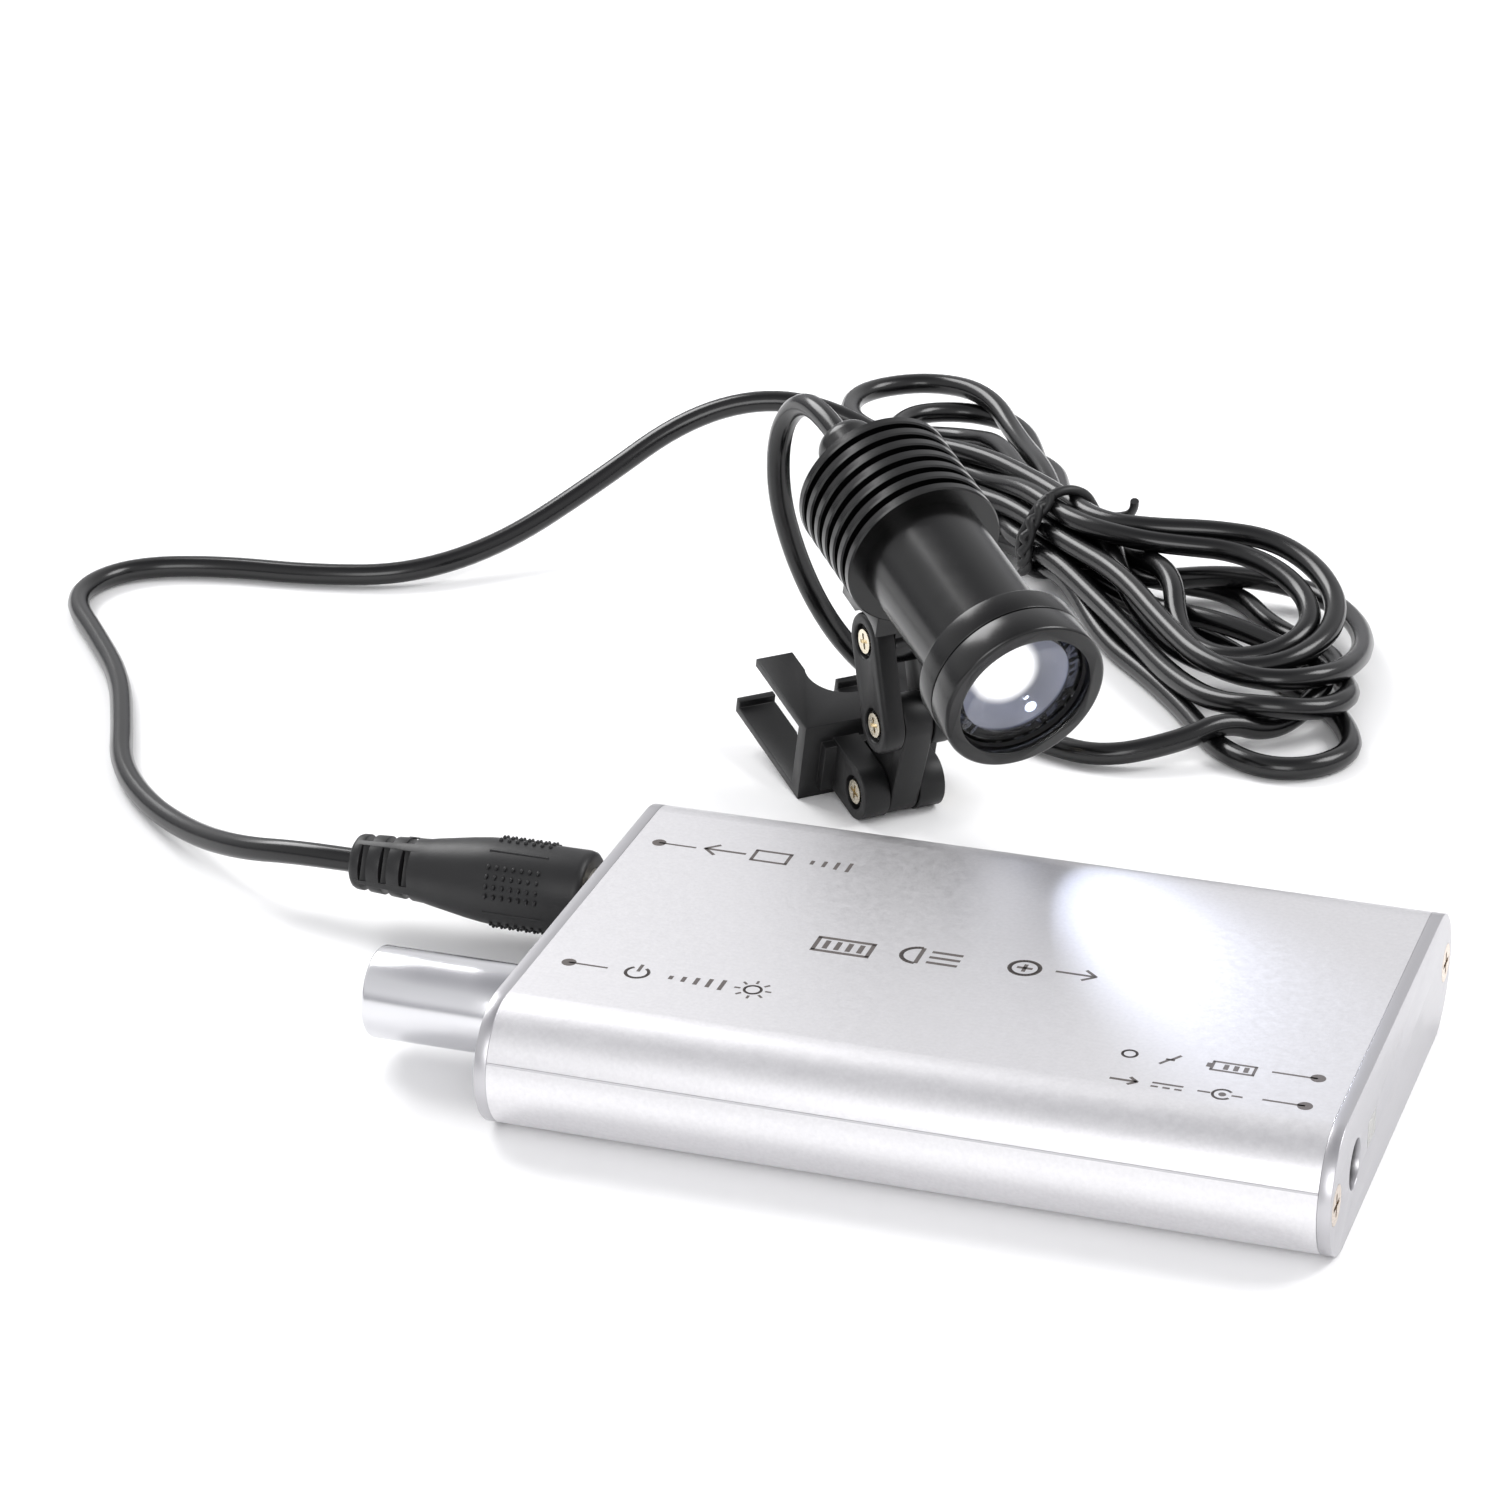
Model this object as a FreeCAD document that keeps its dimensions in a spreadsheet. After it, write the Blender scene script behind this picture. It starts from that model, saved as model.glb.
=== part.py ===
import FreeCAD, Part
import math
import os
import Sketcher

# Clip-on LED headlight with a pocket battery pack.
# Frame: millimetres, +Z up, +X along the pack from its dimmer end to its charging end.
# The origin is the centre of the pack's flat underside.

Vector = FreeCAD.Vector
Rotation = FreeCAD.Rotation
Placement = FreeCAD.Placement

SIZES = {
    # battery pack
    "case_length": 96.0,
    "case_width": 64.5,
    "case_height": 15.5,
    "case_wall": 1.3,
    "seam_height": 10.2,
    "end_plate_thickness": 1.5,
    "end_screw_spacing": 58.4,
    "end_screw_head_radius": 2.25,
    "end_screw_head_height": 1.0,
    "end_screw_shank_radius": 1.1,
    "end_screw_length": 8.0,
    "screw_boss_radius": 2.3,
    "output_offset": 15.5,
    "dimmer_offset": 15.0,
    "charge_jack_offset": 20.0,
    "charge_light_offset": 11.6,
    "charge_light_width": 4.0,
    "charge_light_height": 3.0,
    # what the pack holds
    "cell_length": 56.0,
    "cell_width": 44.0,
    "cell_height": 9.0,
    "cell_shift": -5.0,
    "pad_thickness": 1.0,
    "board_length": 15.0,
    "board_width": 50.0,
    "board_thickness": 1.2,
    "board_height": 1.2,
    "post_radius": 1.8,
    "post_inset": 3.0,
    "coil_radius": 3.0,
    "coil_height": 3.2,
    "chip_length": 5.0,
    "chip_width": 4.0,
    "chip_height": 1.5,
    "led_chip_thickness": 1.6,
    "jack_bore": 1.32,
    "jack_body_radius": 4.2,
    "jack_body_length": 10.0,
    "jack_nose": 0.3,
    "jack_thread_radius": 3.4,
    "jack_nut_radius": 4.9,
    "jack_nut_thickness": 1.7,
    "charge_bore": 2.85,
    "charge_jack_wall": 1.0,
    "charge_jack_length": 9.5,
    "charge_pin_radius": 1.0,
    "charge_pin_length": 7.0,
    "dimmer_body_width": 11.0,
    "dimmer_body_length": 8.0,
    "dimmer_thread_radius": 3.0,
    "dimmer_nut_radius": 4.0,
    "dimmer_nut_thickness": 1.2,
    "dimmer_nose": 2.0,
    "dimmer_wall": 1.0,
    "shaft_radius": 2.0,
    "knob_radius": 5.35,
    "knob_length": 18.0,
    "knob_gap": 0.5,
    "knob_bore_depth": 12.0,
    "knob_skirt": 4.5,
    "knob_chamfer": 0.4,
    "running_gap": 0.05,
    # plug
    "plug_radius": 5.25,
    "plug_length": 30.2,
    "plug_tail_radius": 3.35,
    "plug_tail_length": 9.6,
    "plug_straight": 12.5,
    "plug_nose_round": 0.7,
    "plug_shoulder": 0.75,
    "plug_slot_width": 0.9,
    "plug_slot_pitch": 2.7,
    "plug_slot_start": 0.6,
    "plug_slot_half": 2.7,
    "plug_web": 1.9,
    "plug_gap": 1.6,
    "barrel_radius": 1.27,
    "barrel_insert": 9.5,
    "collar_radius": 3.2,
    "cord_radius": 1.5,
    "tie_radius": 0.75,
    "tie_tail_radius": 1.0,
    "tie_tail_length": 11.0,
    # lamp head, stations measured back from the front rim
    "bezel_radius": 10.43,
    "lens_opening": 8.5,
    "lens_ring_length": 4.0,
    "lens_lip": 1.5,
    "lens_radius": 9.0,
    "lens_seat": 2.2,
    "lens_edge": 1.2,
    "lens_bulge": 1.9,
    "ring_chamfer": 0.3,
    "ring_gap": 0.15,
    "gasket_gap": 0.1,
    "bezel_length": 7.7,
    "barrel_outer": 7.95,
    "barrel_wall": 1.35,
    "barrel_bore": "=barrel_outer - barrel_wall",
    "flange_station": 28.1,
    "spigot_step": 0.4,
    "spigot_radius": "=barrel_bore + spigot_step",
    "spigot_length": 3.0,
    "spigot_wall": 1.0,
    "fin_radius": 10.22,
    "fin_core_radius": 8.5,
    "fin_count": 7,
    "fin_pitch": 2.28,
    "fin_thickness": 1.25,
    "fin_edge": 0.2,
    "led_board_inset": 1.2,
    "led_board_radius": "=spigot_radius - led_board_inset",
    "led_board_thickness": 1.2,
    "led_width": 3.5,
    "led_height": 0.8,
    "led_dome_radius": 1.3,
    "retainer_hole": 3.1,
    "retainer_thickness": 1.6,
    "wire_passage": 1.7,
    "gland_radius": 3.95,
    "gland_length": 9.6,
    "gland_round": 2.2,
    "gland_thread_radius": 3.0,
    "gland_thread_length": 4.0,
    "lead_radius": 0.45,
    "lead_spread": 0.75,
    # hinge chain
    "pin_azimuth": 43.3,
    "low_pin_x": -29.4,
    "low_pin_y": 64.6,
    "lower_link_lean": 20.5,
    "lower_link_length": 11.4,
    "upper_link_lean": -16.0,
    "upper_link_length": 10.65,
    "lamp_tilt": 17.0,
    "pin_station": 31.1,
    "pin_drop": 14.9,
    "tongue_thickness": 4.0,
    "side_gap": 0.1,
    "link_plate_thickness": 2.77,
    "link_radius": 3.65,
    "tongue_radius": 3.4,
    "relief_gap": 0.3,
    "saddle_length": 9.7,
    "saddle_depth": 2.2,
    "saddle_step": 0.2,
    "saddle_sink": 2.0,
    "link_chamfer": 0.35,
    "pin_radius": 1.0,
    "pin_head_radius": 1.55,
    "pin_head_height": 0.85,
    "head_recess_radius": 2.2,
    "head_recess_depth": 1.0,
    "nut_circumradius": 2.3,
    "nut_thickness": 1.2,
    "nut_recess_radius": 2.45,
    "nut_recess_depth": 1.3,
    # clip
    "clip_width": 19.3,
    "clip_height": 11.3,
    "clip_tilt": 13.9,
    "clip_setback": 6.85,
    "clip_wall": 2.15,
    "clip_plate": 1.16,
    "clip_top_depth": 15.5,
    "clip_bottom_depth": 19.5,
    "clip_lip": 1.0,
    "notch_width": 9.0,
    "notch_radius": 4.75,
    "notch_reach": 5.4,
    "ear_radius": 3.6,
    "ear_thickness": 3.5,
    "ear_pad": 1.3,
    "foot_overhang": 1.6,
    "foot_step": 0.4,
}

# Centre line of the free cord from the plug's tail to the hank.
SUPPLY_ROUTE = [
    (-90.0, 15.9, 7.5),
    (-99.0, 19.2, 5.2),
    (-108.5, 25.6, 2.8),
    (-118.5, 33.6, 1.8),
    (-126.9, 43.5, 1.7),
    (-132.3, 55.5, 1.7),
    (-139.0, 69.0, 1.7),
    (-148.6, 81.3, 1.7),
    (-156.3, 90.5, 1.7),
    (-157.0, 98.5, 1.7),
    (-152.6, 105.2, 1.7),
    (-142.2, 108.8, 1.7),
    (-128.5, 109.8, 1.7),
    (-115.5, 113.2, 2.0),
    (-105.4, 123.6, 3.8),
    (-96.3, 137.0, 9.0),
    (-85.6, 146.6, 17.0),
    (-73.5, 150.3, 20.3),
    (-62.0, 153.2, 18.0),
    (-52.5, 156.8, 13.0),
    (-44.0, 161.0, 8.2),
]

# Centre line of the free cord from the hank to the lamp's gland.
LAMP_ROUTE = [
    (8.5, 97.0, 3.8),
    (2.0, 88.6, 2.2),
    (-7.3, 84.0, 1.75),
    (-16.5, 86.8, 1.75),
    (-25.5, 91.8, 1.75),
    (-34.0, 95.0, 2.0),
    (-41.3, 94.6, 4.8),
    (-45.3, 92.3, 10.2),
    (-48.3, 90.2, 16.6),
    (-50.8, 88.9, 24.0),
    (-52.6, 88.6, 31.6),
    (-52.2, 88.0, 39.9),
    (-49.0, 85.3, 45.2),
    (-44.4, 80.5, 47.0),
]

# Outer shape of the tied hank: centre, width, height of each cross-section.
HANK_SECTIONS = [
    (-69.5, 195.5, 6.5, 8.0, 5.0),
    (-65.0, 189.5, 6.8, 18.0, 9.0),
    (-55.0, 177.0, 6.8, 22.0, 11.0),
    (-41.0, 158.5, 7.0, 17.0, 12.0),
    (-29.0, 143.0, 7.8, 13.0, 12.4),
    (-17.5, 132.5, 7.0, 22.0, 12.0),
    (-6.0, 124.0, 6.2, 29.0, 11.4),
    (3.5, 115.5, 5.8, 33.0, 10.5),
    (10.0, 107.0, 5.2, 32.0, 9.2),
    (14.2, 99.5, 4.4, 26.0, 7.6),
    (17.2, 93.5, 3.6, 14.0, 5.5),
]
TIE_SECTION = 4
TIE_TAIL_DIRECTION = Vector(0.93, 0.36, 0.0)

document = FreeCAD.newDocument("clip_on_headlight")
sheet = document.addObject("Spreadsheet::Sheet", "Sizes")
for row, (alias, number) in enumerate(SIZES.items(), start=1):
    sheet.set("A%d" % row, alias)
    sheet.set("B%d" % row, str(number))
    sheet.setAlias("B%d" % row, alias)
document.recompute()

PIECES = []


def size(alias):
    """Number held in the sheet under this alias."""
    return float(sheet.get(alias))


def cell(formula):
    """Formula of sheet aliases, each written with a leading at-sign."""
    return formula.replace("@", "Sizes.")


def keep(item, label, place=None):
    """Name a finished sub-part, put it in its place and list it for export."""
    item.Label = label
    if place is not None:
        item.Placement = place
    PIECES.append(item)
    return item


# ---------------------------------------------------------------- sketches and features

def new_body(label):
    return document.addObject("PartDesign::Body", label + "_body")


def new_sketch(body, role, offset):
    sketch = body.newObject("Sketcher::SketchObject", "outline")
    plane = [item for item in body.Origin.OriginFeatures if item.Role == role][0]
    sketch.AttachmentSupport = [(plane, "")]
    sketch.MapMode = "FlatFace"
    sketch.setExpression("AttachmentOffset.Base.z", cell(offset))
    return sketch


def bind(sketch, kind, geometry, point, formula, guess):
    index = sketch.addConstraint(Sketcher.Constraint(kind, -1, 1, geometry, point, guess))
    sketch.setExpression("Constraints[%d]" % index, cell(formula))


def polygon(body, role, corners, offset="0"):
    """Closed outline with straight sides, each corner tied to sheet formulas."""
    sketch = new_sketch(body, role, offset)
    count = len(corners)
    start = [Vector(math.cos(2 * math.pi * i / count), math.sin(2 * math.pi * i / count), 0)
             for i in range(count)]
    for index in range(count):
        side = Part.LineSegment(start[index] * 9, start[(index + 1) % count] * 9)
        sketch.addGeometry(side, False)
    for index in range(count):
        sketch.addConstraint(Sketcher.Constraint("Coincident", index, 2, (index + 1) % count, 1))
    for index, (across, up) in enumerate(corners):
        bind(sketch, "DistanceX", index, 1, across, start[index].x * 9)
        bind(sketch, "DistanceY", index, 1, up, start[index].y * 9)
    return sketch


def rectangle(body, role, left, right, low, high, offset="0"):
    return polygon(body, role, [(left, low), (right, low), (right, high), (left, high)], offset)


def circle(body, role, across, up, radius, offset="0"):
    """Circle tied to sheet formulas."""
    sketch = new_sketch(body, role, offset)
    sketch.addGeometry(Part.Circle(Vector(1, 1, 0), Vector(0, 0, 1), 2), False)
    index = sketch.addConstraint(Sketcher.Constraint("Radius", 0, 2.0))
    sketch.setExpression("Constraints[%d]" % index, cell(radius))
    bind(sketch, "DistanceX", 0, 3, across, 1.0)
    bind(sketch, "DistanceY", 0, 3, up, 1.0)
    return sketch


def pad(body, sketch, length):
    feature = body.newObject("PartDesign::Pad", "pad")
    feature.Profile = sketch
    feature.setExpression("Length", cell(length))
    return feature


def pocket(body, sketch, length):
    """Cut that runs from the sketch along its own normal, as a pad does."""
    feature = body.newObject("PartDesign::Pocket", "pocket")
    feature.Profile = sketch
    feature.Reversed = True
    feature.setExpression("Length", cell(length))
    return feature


def spin(body, sketch, groove=False):
    kind = "PartDesign::Groove" if groove else "PartDesign::Revolution"
    feature = body.newObject(kind, "turning")
    feature.Profile = sketch
    feature.ReferenceAxis = (sketch, ["V_Axis"])
    feature.Angle = 360
    return feature


def turned(label, corners, place):
    """Body turned about its Z axis; corners are (radius, station) formulas."""
    body = new_body(label)
    spin(body, polygon(body, "XZ_Plane", corners))
    return keep(body, label, place)


def round_edges(body, radius, chosen, kind="PartDesign::Fillet"):
    """Fillet or chamfer every edge for which chosen(edge) is true."""
    document.recompute()
    base = body.Tip
    names = ["Edge%d" % (i + 1) for i, edge in enumerate(base.Shape.Edges) if chosen(edge)]
    feature = body.newObject(kind, "dressing")
    feature.Base = (base, names)
    if kind == "PartDesign::Fillet":
        feature.setExpression("Radius", cell(radius))
    else:
        feature.setExpression("Size", cell(radius))
    return feature


def is_ring(edge, radius, station):
    """True for a circular edge of this radius about Z at this station."""
    curve = edge.Curve
    if not hasattr(curve, "Radius"):
        return False
    return abs(curve.Radius - radius) < 0.01 and abs(edge.BoundBox.ZMin - station) < 0.01


# ---------------------------------------------------------------- primitives

def cylinder(radius, height, place=Placement()):
    item = document.addObject("Part::Cylinder", "cylinder")
    item.setExpression("Radius", cell(radius))
    item.setExpression("Height", cell(height))
    item.Placement = place
    return item


def block(length, width, height, place=Placement()):
    item = document.addObject("Part::Box", "block")
    item.setExpression("Length", cell(length))
    item.setExpression("Width", cell(width))
    item.setExpression("Height", cell(height))
    item.Placement = place
    return item


def fused(items):
    item = document.addObject("Part::MultiFuse", "joined")
    item.Shapes = items
    return item


def cut(base, tool):
    item = document.addObject("Part::Cut", "cut")
    item.Base = base
    item.Tool = tool
    return item


def group(items):
    """Several separate solids kept as one node."""
    item = document.addObject("Part::Compound", "set")
    item.Links = items
    return item


# ---------------------------------------------------------------- frames

def along_x(x, y, z, direction=1):
    """Place whose local Z runs along +X or -X."""
    return Placement(Vector(x, y, z), Rotation(Vector(0, 1, 0), 90 * direction))


half_length = size("case_length") / 2
mid_height = size("case_height") / 2
azimuth = Rotation(Vector(0, 0, 1), size("pin_azimuth"))


def leaning(pivot, lean):
    """Frame at a hinge pin: local X along the pin, local Z leaned from the vertical."""
    return Placement(pivot, azimuth.multiply(Rotation(Vector(1, 0, 0), lean)))


low_pin = Vector(size("low_pin_x"), size("low_pin_y"), size("ear_radius"))
clip_frame = leaning(low_pin, size("clip_tilt"))
lower_frame = leaning(low_pin, size("lower_link_lean"))
middle_pin = lower_frame.multVec(Vector(0, 0, size("lower_link_length")))
upper_frame = leaning(middle_pin, size("upper_link_lean"))
upper_pin = upper_frame.multVec(Vector(0, 0, size("upper_link_length")))
lamp_turn = leaning(Vector(0, 0, 0), size("lamp_tilt") - 90)
pin_in_lamp = Vector(0, size("pin_drop"), size("pin_station"))
lamp_frame = leaning(upper_pin - lamp_turn.multVec(pin_in_lamp), size("lamp_tilt") - 90)
upper_pin_frame = leaning(upper_pin, size("upper_link_lean"))


# ---------------------------------------------------------------- battery pack case

SHELL = "(@case_length - 2 * @end_plate_thickness)"
HALF_ROUND = "@case_height / 2"
ROUND_CENTRE = "(@case_width - @case_height) / 2"
SIDES = ("-", "")


def stadium(body, feature, inset, length, offset):
    """Case profile, a rectangle with full round sides, pulled in by an inset."""
    reach = ROUND_CENTRE
    feature(body, rectangle(body, "YZ_Plane", "-" + reach, reach, inset,
                            "@case_height - " + inset, offset), length)
    for side in SIDES:
        feature(body, circle(body, "YZ_Plane", side + reach, HALF_ROUND,
                             HALF_ROUND + " - " + inset, offset), length)


def case_shell(label, low, high, bosses):
    """One extruded half of the case, between two heights of the full profile."""
    body = new_body(label)
    start = "-%s / 2" % SHELL
    stadium(body, pad, "0", SHELL, start)
    stadium(body, pocket, "@case_wall", SHELL, start)
    if bosses:
        for side in SIDES:
            spot = side + "@end_screw_spacing / 2"
            pad(body, circle(body, "YZ_Plane", spot, HALF_ROUND, "@screw_boss_radius", start), SHELL)
            pocket(body, circle(body, "YZ_Plane", spot, HALF_ROUND,
                                "@end_screw_shank_radius", start), SHELL)
    reach = "@case_width"
    pocket(body, rectangle(body, "YZ_Plane", "-" + reach, reach, low, high, start), SHELL)
    return keep(body, label)


def end_plate(label, face, holes):
    """Flat cap over one end of the case; face is the low X side, holes are (y, radius)."""
    body = new_body(label)
    stadium(body, pad, "0", "@end_plate_thickness", face)
    for side in SIDES:
        pocket(body, circle(body, "YZ_Plane", side + "@end_screw_spacing / 2", HALF_ROUND,
                            "@end_screw_shank_radius", face), "@end_plate_thickness")
    for across, radius in holes:
        pocket(body, circle(body, "YZ_Plane", across, HALF_ROUND, radius, face),
               "@end_plate_thickness")
    return body


def recess_screw_heads(body, face):
    for side in SIDES:
        pocket(body, circle(body, "YZ_Plane", side + "@end_screw_spacing / 2", HALF_ROUND,
                            "@end_screw_head_radius", face), "@end_screw_head_height")


def end_screws(label, direction):
    """Two cross-recessed screws that hold one end plate; heads flush with its face."""
    screws = []
    radius = size("end_screw_head_radius")
    for side in (-1, 1):
        head = cylinder("@end_screw_head_radius", "@end_screw_head_height")
        shank = cylinder("@end_screw_shank_radius", "@end_screw_length")
        across = block("@end_screw_head_radius * 1.2", "@end_screw_head_radius * 0.24",
                       "@end_screw_head_height * 0.6",
                       Placement(Vector(-0.6 * radius, -0.12 * radius, 0), Rotation()))
        upright = block("@end_screw_head_radius * 0.24", "@end_screw_head_radius * 1.2",
                        "@end_screw_head_height * 0.6",
                        Placement(Vector(-0.12 * radius, -0.6 * radius, 0), Rotation()))
        screw = cut(cut(fused([head, shank]), across), upright)
        screw.Placement = along_x(direction * half_length, side * size("end_screw_spacing") / 2,
                                  mid_height, -direction)
        screws.append(screw)
    return keep(group(screws), label)


def build_case():
    case_shell("case_top_shell", "0", "@seam_height", False)
    case_shell("case_bottom_shell", "@seam_height", "@case_height", True)
    output_face = "-@case_length / 2"
    plate = end_plate("output_end_plate", output_face,
                      [("@output_offset", "@jack_thread_radius"),
                       ("-@dimmer_offset", "@dimmer_thread_radius")])
    recess_screw_heads(plate, output_face)
    keep(plate, "output_end_plate")
    input_face = "@case_length / 2 - @end_plate_thickness"
    plate = end_plate("input_end_plate", input_face, [("-@charge_jack_offset", "@charge_bore")])
    recess_screw_heads(plate, "@case_length / 2 - @end_screw_head_height")
    left = "-@charge_light_offset - @charge_light_width / 2"
    right = "-@charge_light_offset + @charge_light_width / 2"
    low = HALF_ROUND + " - @charge_light_height / 2"
    high = HALF_ROUND + " + @charge_light_height / 2"
    pocket(plate, rectangle(plate, "YZ_Plane", left, right, low, high, input_face),
           "@end_plate_thickness")
    keep(plate, "input_end_plate")
    end_screws("output_end_screws", -1)
    end_screws("input_end_screws", 1)


# ---------------------------------------------------------------- inside the pack

def build_electronics():
    floor = size("case_wall")
    plate = size("end_plate_thickness")
    cell_left = size("cell_shift") - size("cell_length") / 2
    pad_item = block("@cell_length", "@cell_width", "@pad_thickness")
    keep(pad_item, "cell_pad", Placement(Vector(cell_left, -size("cell_width") / 2, floor), Rotation()))
    battery = new_body("battery_cell")
    pad(battery, rectangle(battery, "YZ_Plane", "-@cell_width / 2", "@cell_width / 2", "0",
                           "@cell_height", "-@cell_length / 2"), "@cell_length")
    round_edges(battery, "@cell_height / 5",
                lambda edge: edge.BoundBox.XLength > size("cell_length") - 0.01)
    keep(battery, "battery_cell",
         Placement(Vector(size("cell_shift"), 0, floor + size("pad_thickness")), Rotation()))
    board_right = half_length - plate
    board_base = floor + size("board_height")
    board = block("@board_length", "@board_width", "@board_thickness")
    keep(board, "circuit_board",
         Placement(Vector(board_right - size("board_length"), -size("board_width") / 2, board_base),
                   Rotation()))
    posts = []
    for side in (-1, 1):
        post = cylinder("@post_radius", "@board_height")
        post.Placement = Placement(Vector(board_right - size("board_length") / 2,
                                          side * (size("board_width") / 2 - size("post_inset")), floor),
                                   Rotation())
        posts.append(post)
    keep(group(posts), "board_posts")
    board_top = board_base + size("board_thickness")
    board_middle = board_right - size("board_length") / 2
    coil = cylinder("@coil_radius", "@coil_height")
    keep(coil, "driver_coil",
         Placement(Vector(board_middle, size("board_width") / 4, board_top), Rotation()))
    chip = block("@chip_length", "@chip_width", "@chip_height")
    keep(chip, "charge_chip",
         Placement(Vector(board_middle - size("chip_length") / 2, 0, board_top), Rotation()))
    build_charge_jack(board_right)
    build_charge_light(board_right, board_top)


def build_charge_jack(face):
    """Round barrel socket behind the charging hole, with its centre pin."""
    body = new_body("charge_jack")
    wall = "@charge_jack_wall"
    shell = "@charge_bore + " + wall
    pad(body, circle(body, "XY_Plane", "0", "0", shell), "@charge_jack_length")
    pocket(body, circle(body, "XY_Plane", "0", "0", "@charge_bore"), "@charge_jack_length - " + wall)
    keep(body, "charge_jack",
         along_x(face, -size("charge_jack_offset"), mid_height, -1))
    pin = cylinder("@charge_pin_radius", "@charge_pin_length")
    floor = face - size("charge_jack_length") + size("charge_jack_wall")
    keep(pin, "charge_jack_pin", along_x(floor, -size("charge_jack_offset"), mid_height, 1))


def build_charge_light(face, board_top):
    """Clear window in the end plate and the small lamp behind it."""
    width = size("charge_light_width")
    height = size("charge_light_height")
    window = block("@end_plate_thickness", "@charge_light_width", "@charge_light_height")
    corner = Vector(face, -size("charge_light_offset") - width / 2, mid_height - height / 2)
    keep(window, "charge_window", Placement(corner, Rotation()))
    reach = mid_height + size("charge_light_height") / 2 - board_top
    light = block("@led_chip_thickness", "@charge_light_width / 2", "1")
    light.Height = reach
    spot = Vector(face - size("led_chip_thickness"), -size("charge_light_offset") - width / 4,
                  board_top)
    keep(light, "charge_led", Placement(spot, Rotation()))


def build_output_jack():
    """Threaded output socket, its ring nut and the bore that takes the plug's barrel."""
    place = along_x(-half_length, size("output_offset"), mid_height)
    plate = "@end_plate_thickness"
    nose = "-(@jack_nut_thickness + @jack_nose)"
    turned("output_jack",
           [("@jack_bore", nose), ("@jack_thread_radius", nose), ("@jack_thread_radius", plate),
            ("@jack_body_radius", plate), ("@jack_body_radius", plate + " + @jack_body_length"),
            ("@jack_bore", plate + " + @jack_body_length")], place)
    nut = turned("output_jack_nut",
                 [("@jack_thread_radius", "-@jack_nut_thickness"),
                  ("@jack_nut_radius", "-@jack_nut_thickness"), ("@jack_nut_radius", "0"),
                  ("@jack_thread_radius", "0")], place)
    rim = size("jack_nut_radius")
    thick = size("jack_nut_thickness")
    round_edges(nut, "@jack_nut_thickness / 4",
                lambda edge: is_ring(edge, rim, -thick), "PartDesign::Chamfer")


def build_dimmer():
    """Rotary switch and dimmer: fixed body, bush and nut; turning shaft and knob."""
    place = along_x(-half_length, -size("dimmer_offset"), mid_height)
    plate = "@end_plate_thickness"
    bore = "@shaft_radius + @running_gap"
    nose = "-(@dimmer_nut_thickness + @dimmer_nose)"
    end = plate + " + @dimmer_body_length"
    body = new_body("dimmer_body")
    half = "@dimmer_body_width / 2"
    pad(body, rectangle(body, "XY_Plane", "-" + half, half, "-" + half, half, plate),
        "@dimmer_body_length")
    spin(body, polygon(body, "XZ_Plane",
                       [(bore, nose), ("@dimmer_thread_radius", nose),
                        ("@dimmer_thread_radius", plate + " + @dimmer_wall"),
                        (bore, plate + " + @dimmer_wall")]))
    pocket(body, circle(body, "XY_Plane", "0", "0", bore, plate),
           "@dimmer_body_length - @dimmer_wall")
    keep(body, "dimmer_body", place)
    turned("dimmer_nut",
           [("@dimmer_thread_radius", "-@dimmer_nut_thickness"),
            ("@dimmer_nut_radius", "-@dimmer_nut_thickness"),
            ("@dimmer_nut_radius", "0"), ("@dimmer_thread_radius", "0")], place)
    tip = "-(@knob_gap + @knob_bore_depth)"
    turned("dimmer_shaft",
           [("0", tip), ("@shaft_radius", tip), ("@shaft_radius", end + " - 1.5 * @dimmer_wall"),
            ("0", end + " - 1.5 * @dimmer_wall")], place)
    room = "@dimmer_nut_radius + 0.4"
    open_end = "-@knob_gap"
    closed_end = "-(@knob_gap + @knob_length)"
    step = "-(@knob_gap + @knob_skirt)"
    knob = turned("dimmer_knob",
                  [(room, open_end), ("@knob_radius", open_end), ("@knob_radius", closed_end),
                   ("0", closed_end), ("0", tip), ("@shaft_radius", tip), ("@shaft_radius", step),
                   (room, step)], place)
    rim = size("knob_radius")
    station = -(size("knob_gap") + size("knob_length"))
    round_edges(knob, "@knob_chamfer", lambda edge: is_ring(edge, rim, station), "PartDesign::Chamfer")


# ---------------------------------------------------------------- plug and cord

plug_front = -half_length - size("jack_nut_thickness") - size("jack_nose") - size("plug_gap")
plug_tail = plug_front - size("plug_length")


def build_plug():
    """Moulded plug lying on the output socket's axis; stations run back from its front face."""
    place = along_x(plug_front, size("output_offset"), mid_height, -1)
    grip = "(@plug_length - @plug_tail_length)"
    nose = "@plug_nose_round"
    body = turned("plug_body",
                  [("0", "0"), ("@plug_radius - " + nose, "0"), ("@plug_radius", nose),
                   ("@plug_radius", "@plug_straight"),
                   ("@plug_tail_radius + @plug_shoulder", grip),
                   ("@plug_tail_radius", "@plug_length"), ("0", "@plug_length")], place)
    half = "@plug_slot_half"
    for number in range(3):
        station = grip + " + @plug_slot_start + %d * @plug_slot_pitch" % number
        for side in ("-", ""):
            pocket(body, rectangle(body, "XY_Plane", side + "@plug_web",
                                   side + "2 * @plug_tail_radius", "-" + half, half, station),
                   "@plug_slot_width")
    collar_end = "-@plug_gap"
    turned("plug_barrel",
           [("0", "0"), ("@collar_radius", "0"), ("@collar_radius", collar_end),
            ("@barrel_radius", collar_end), ("@barrel_radius", "-@barrel_insert - @plug_gap"),
            ("0", "-@barrel_insert - @plug_gap")], place)


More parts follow.
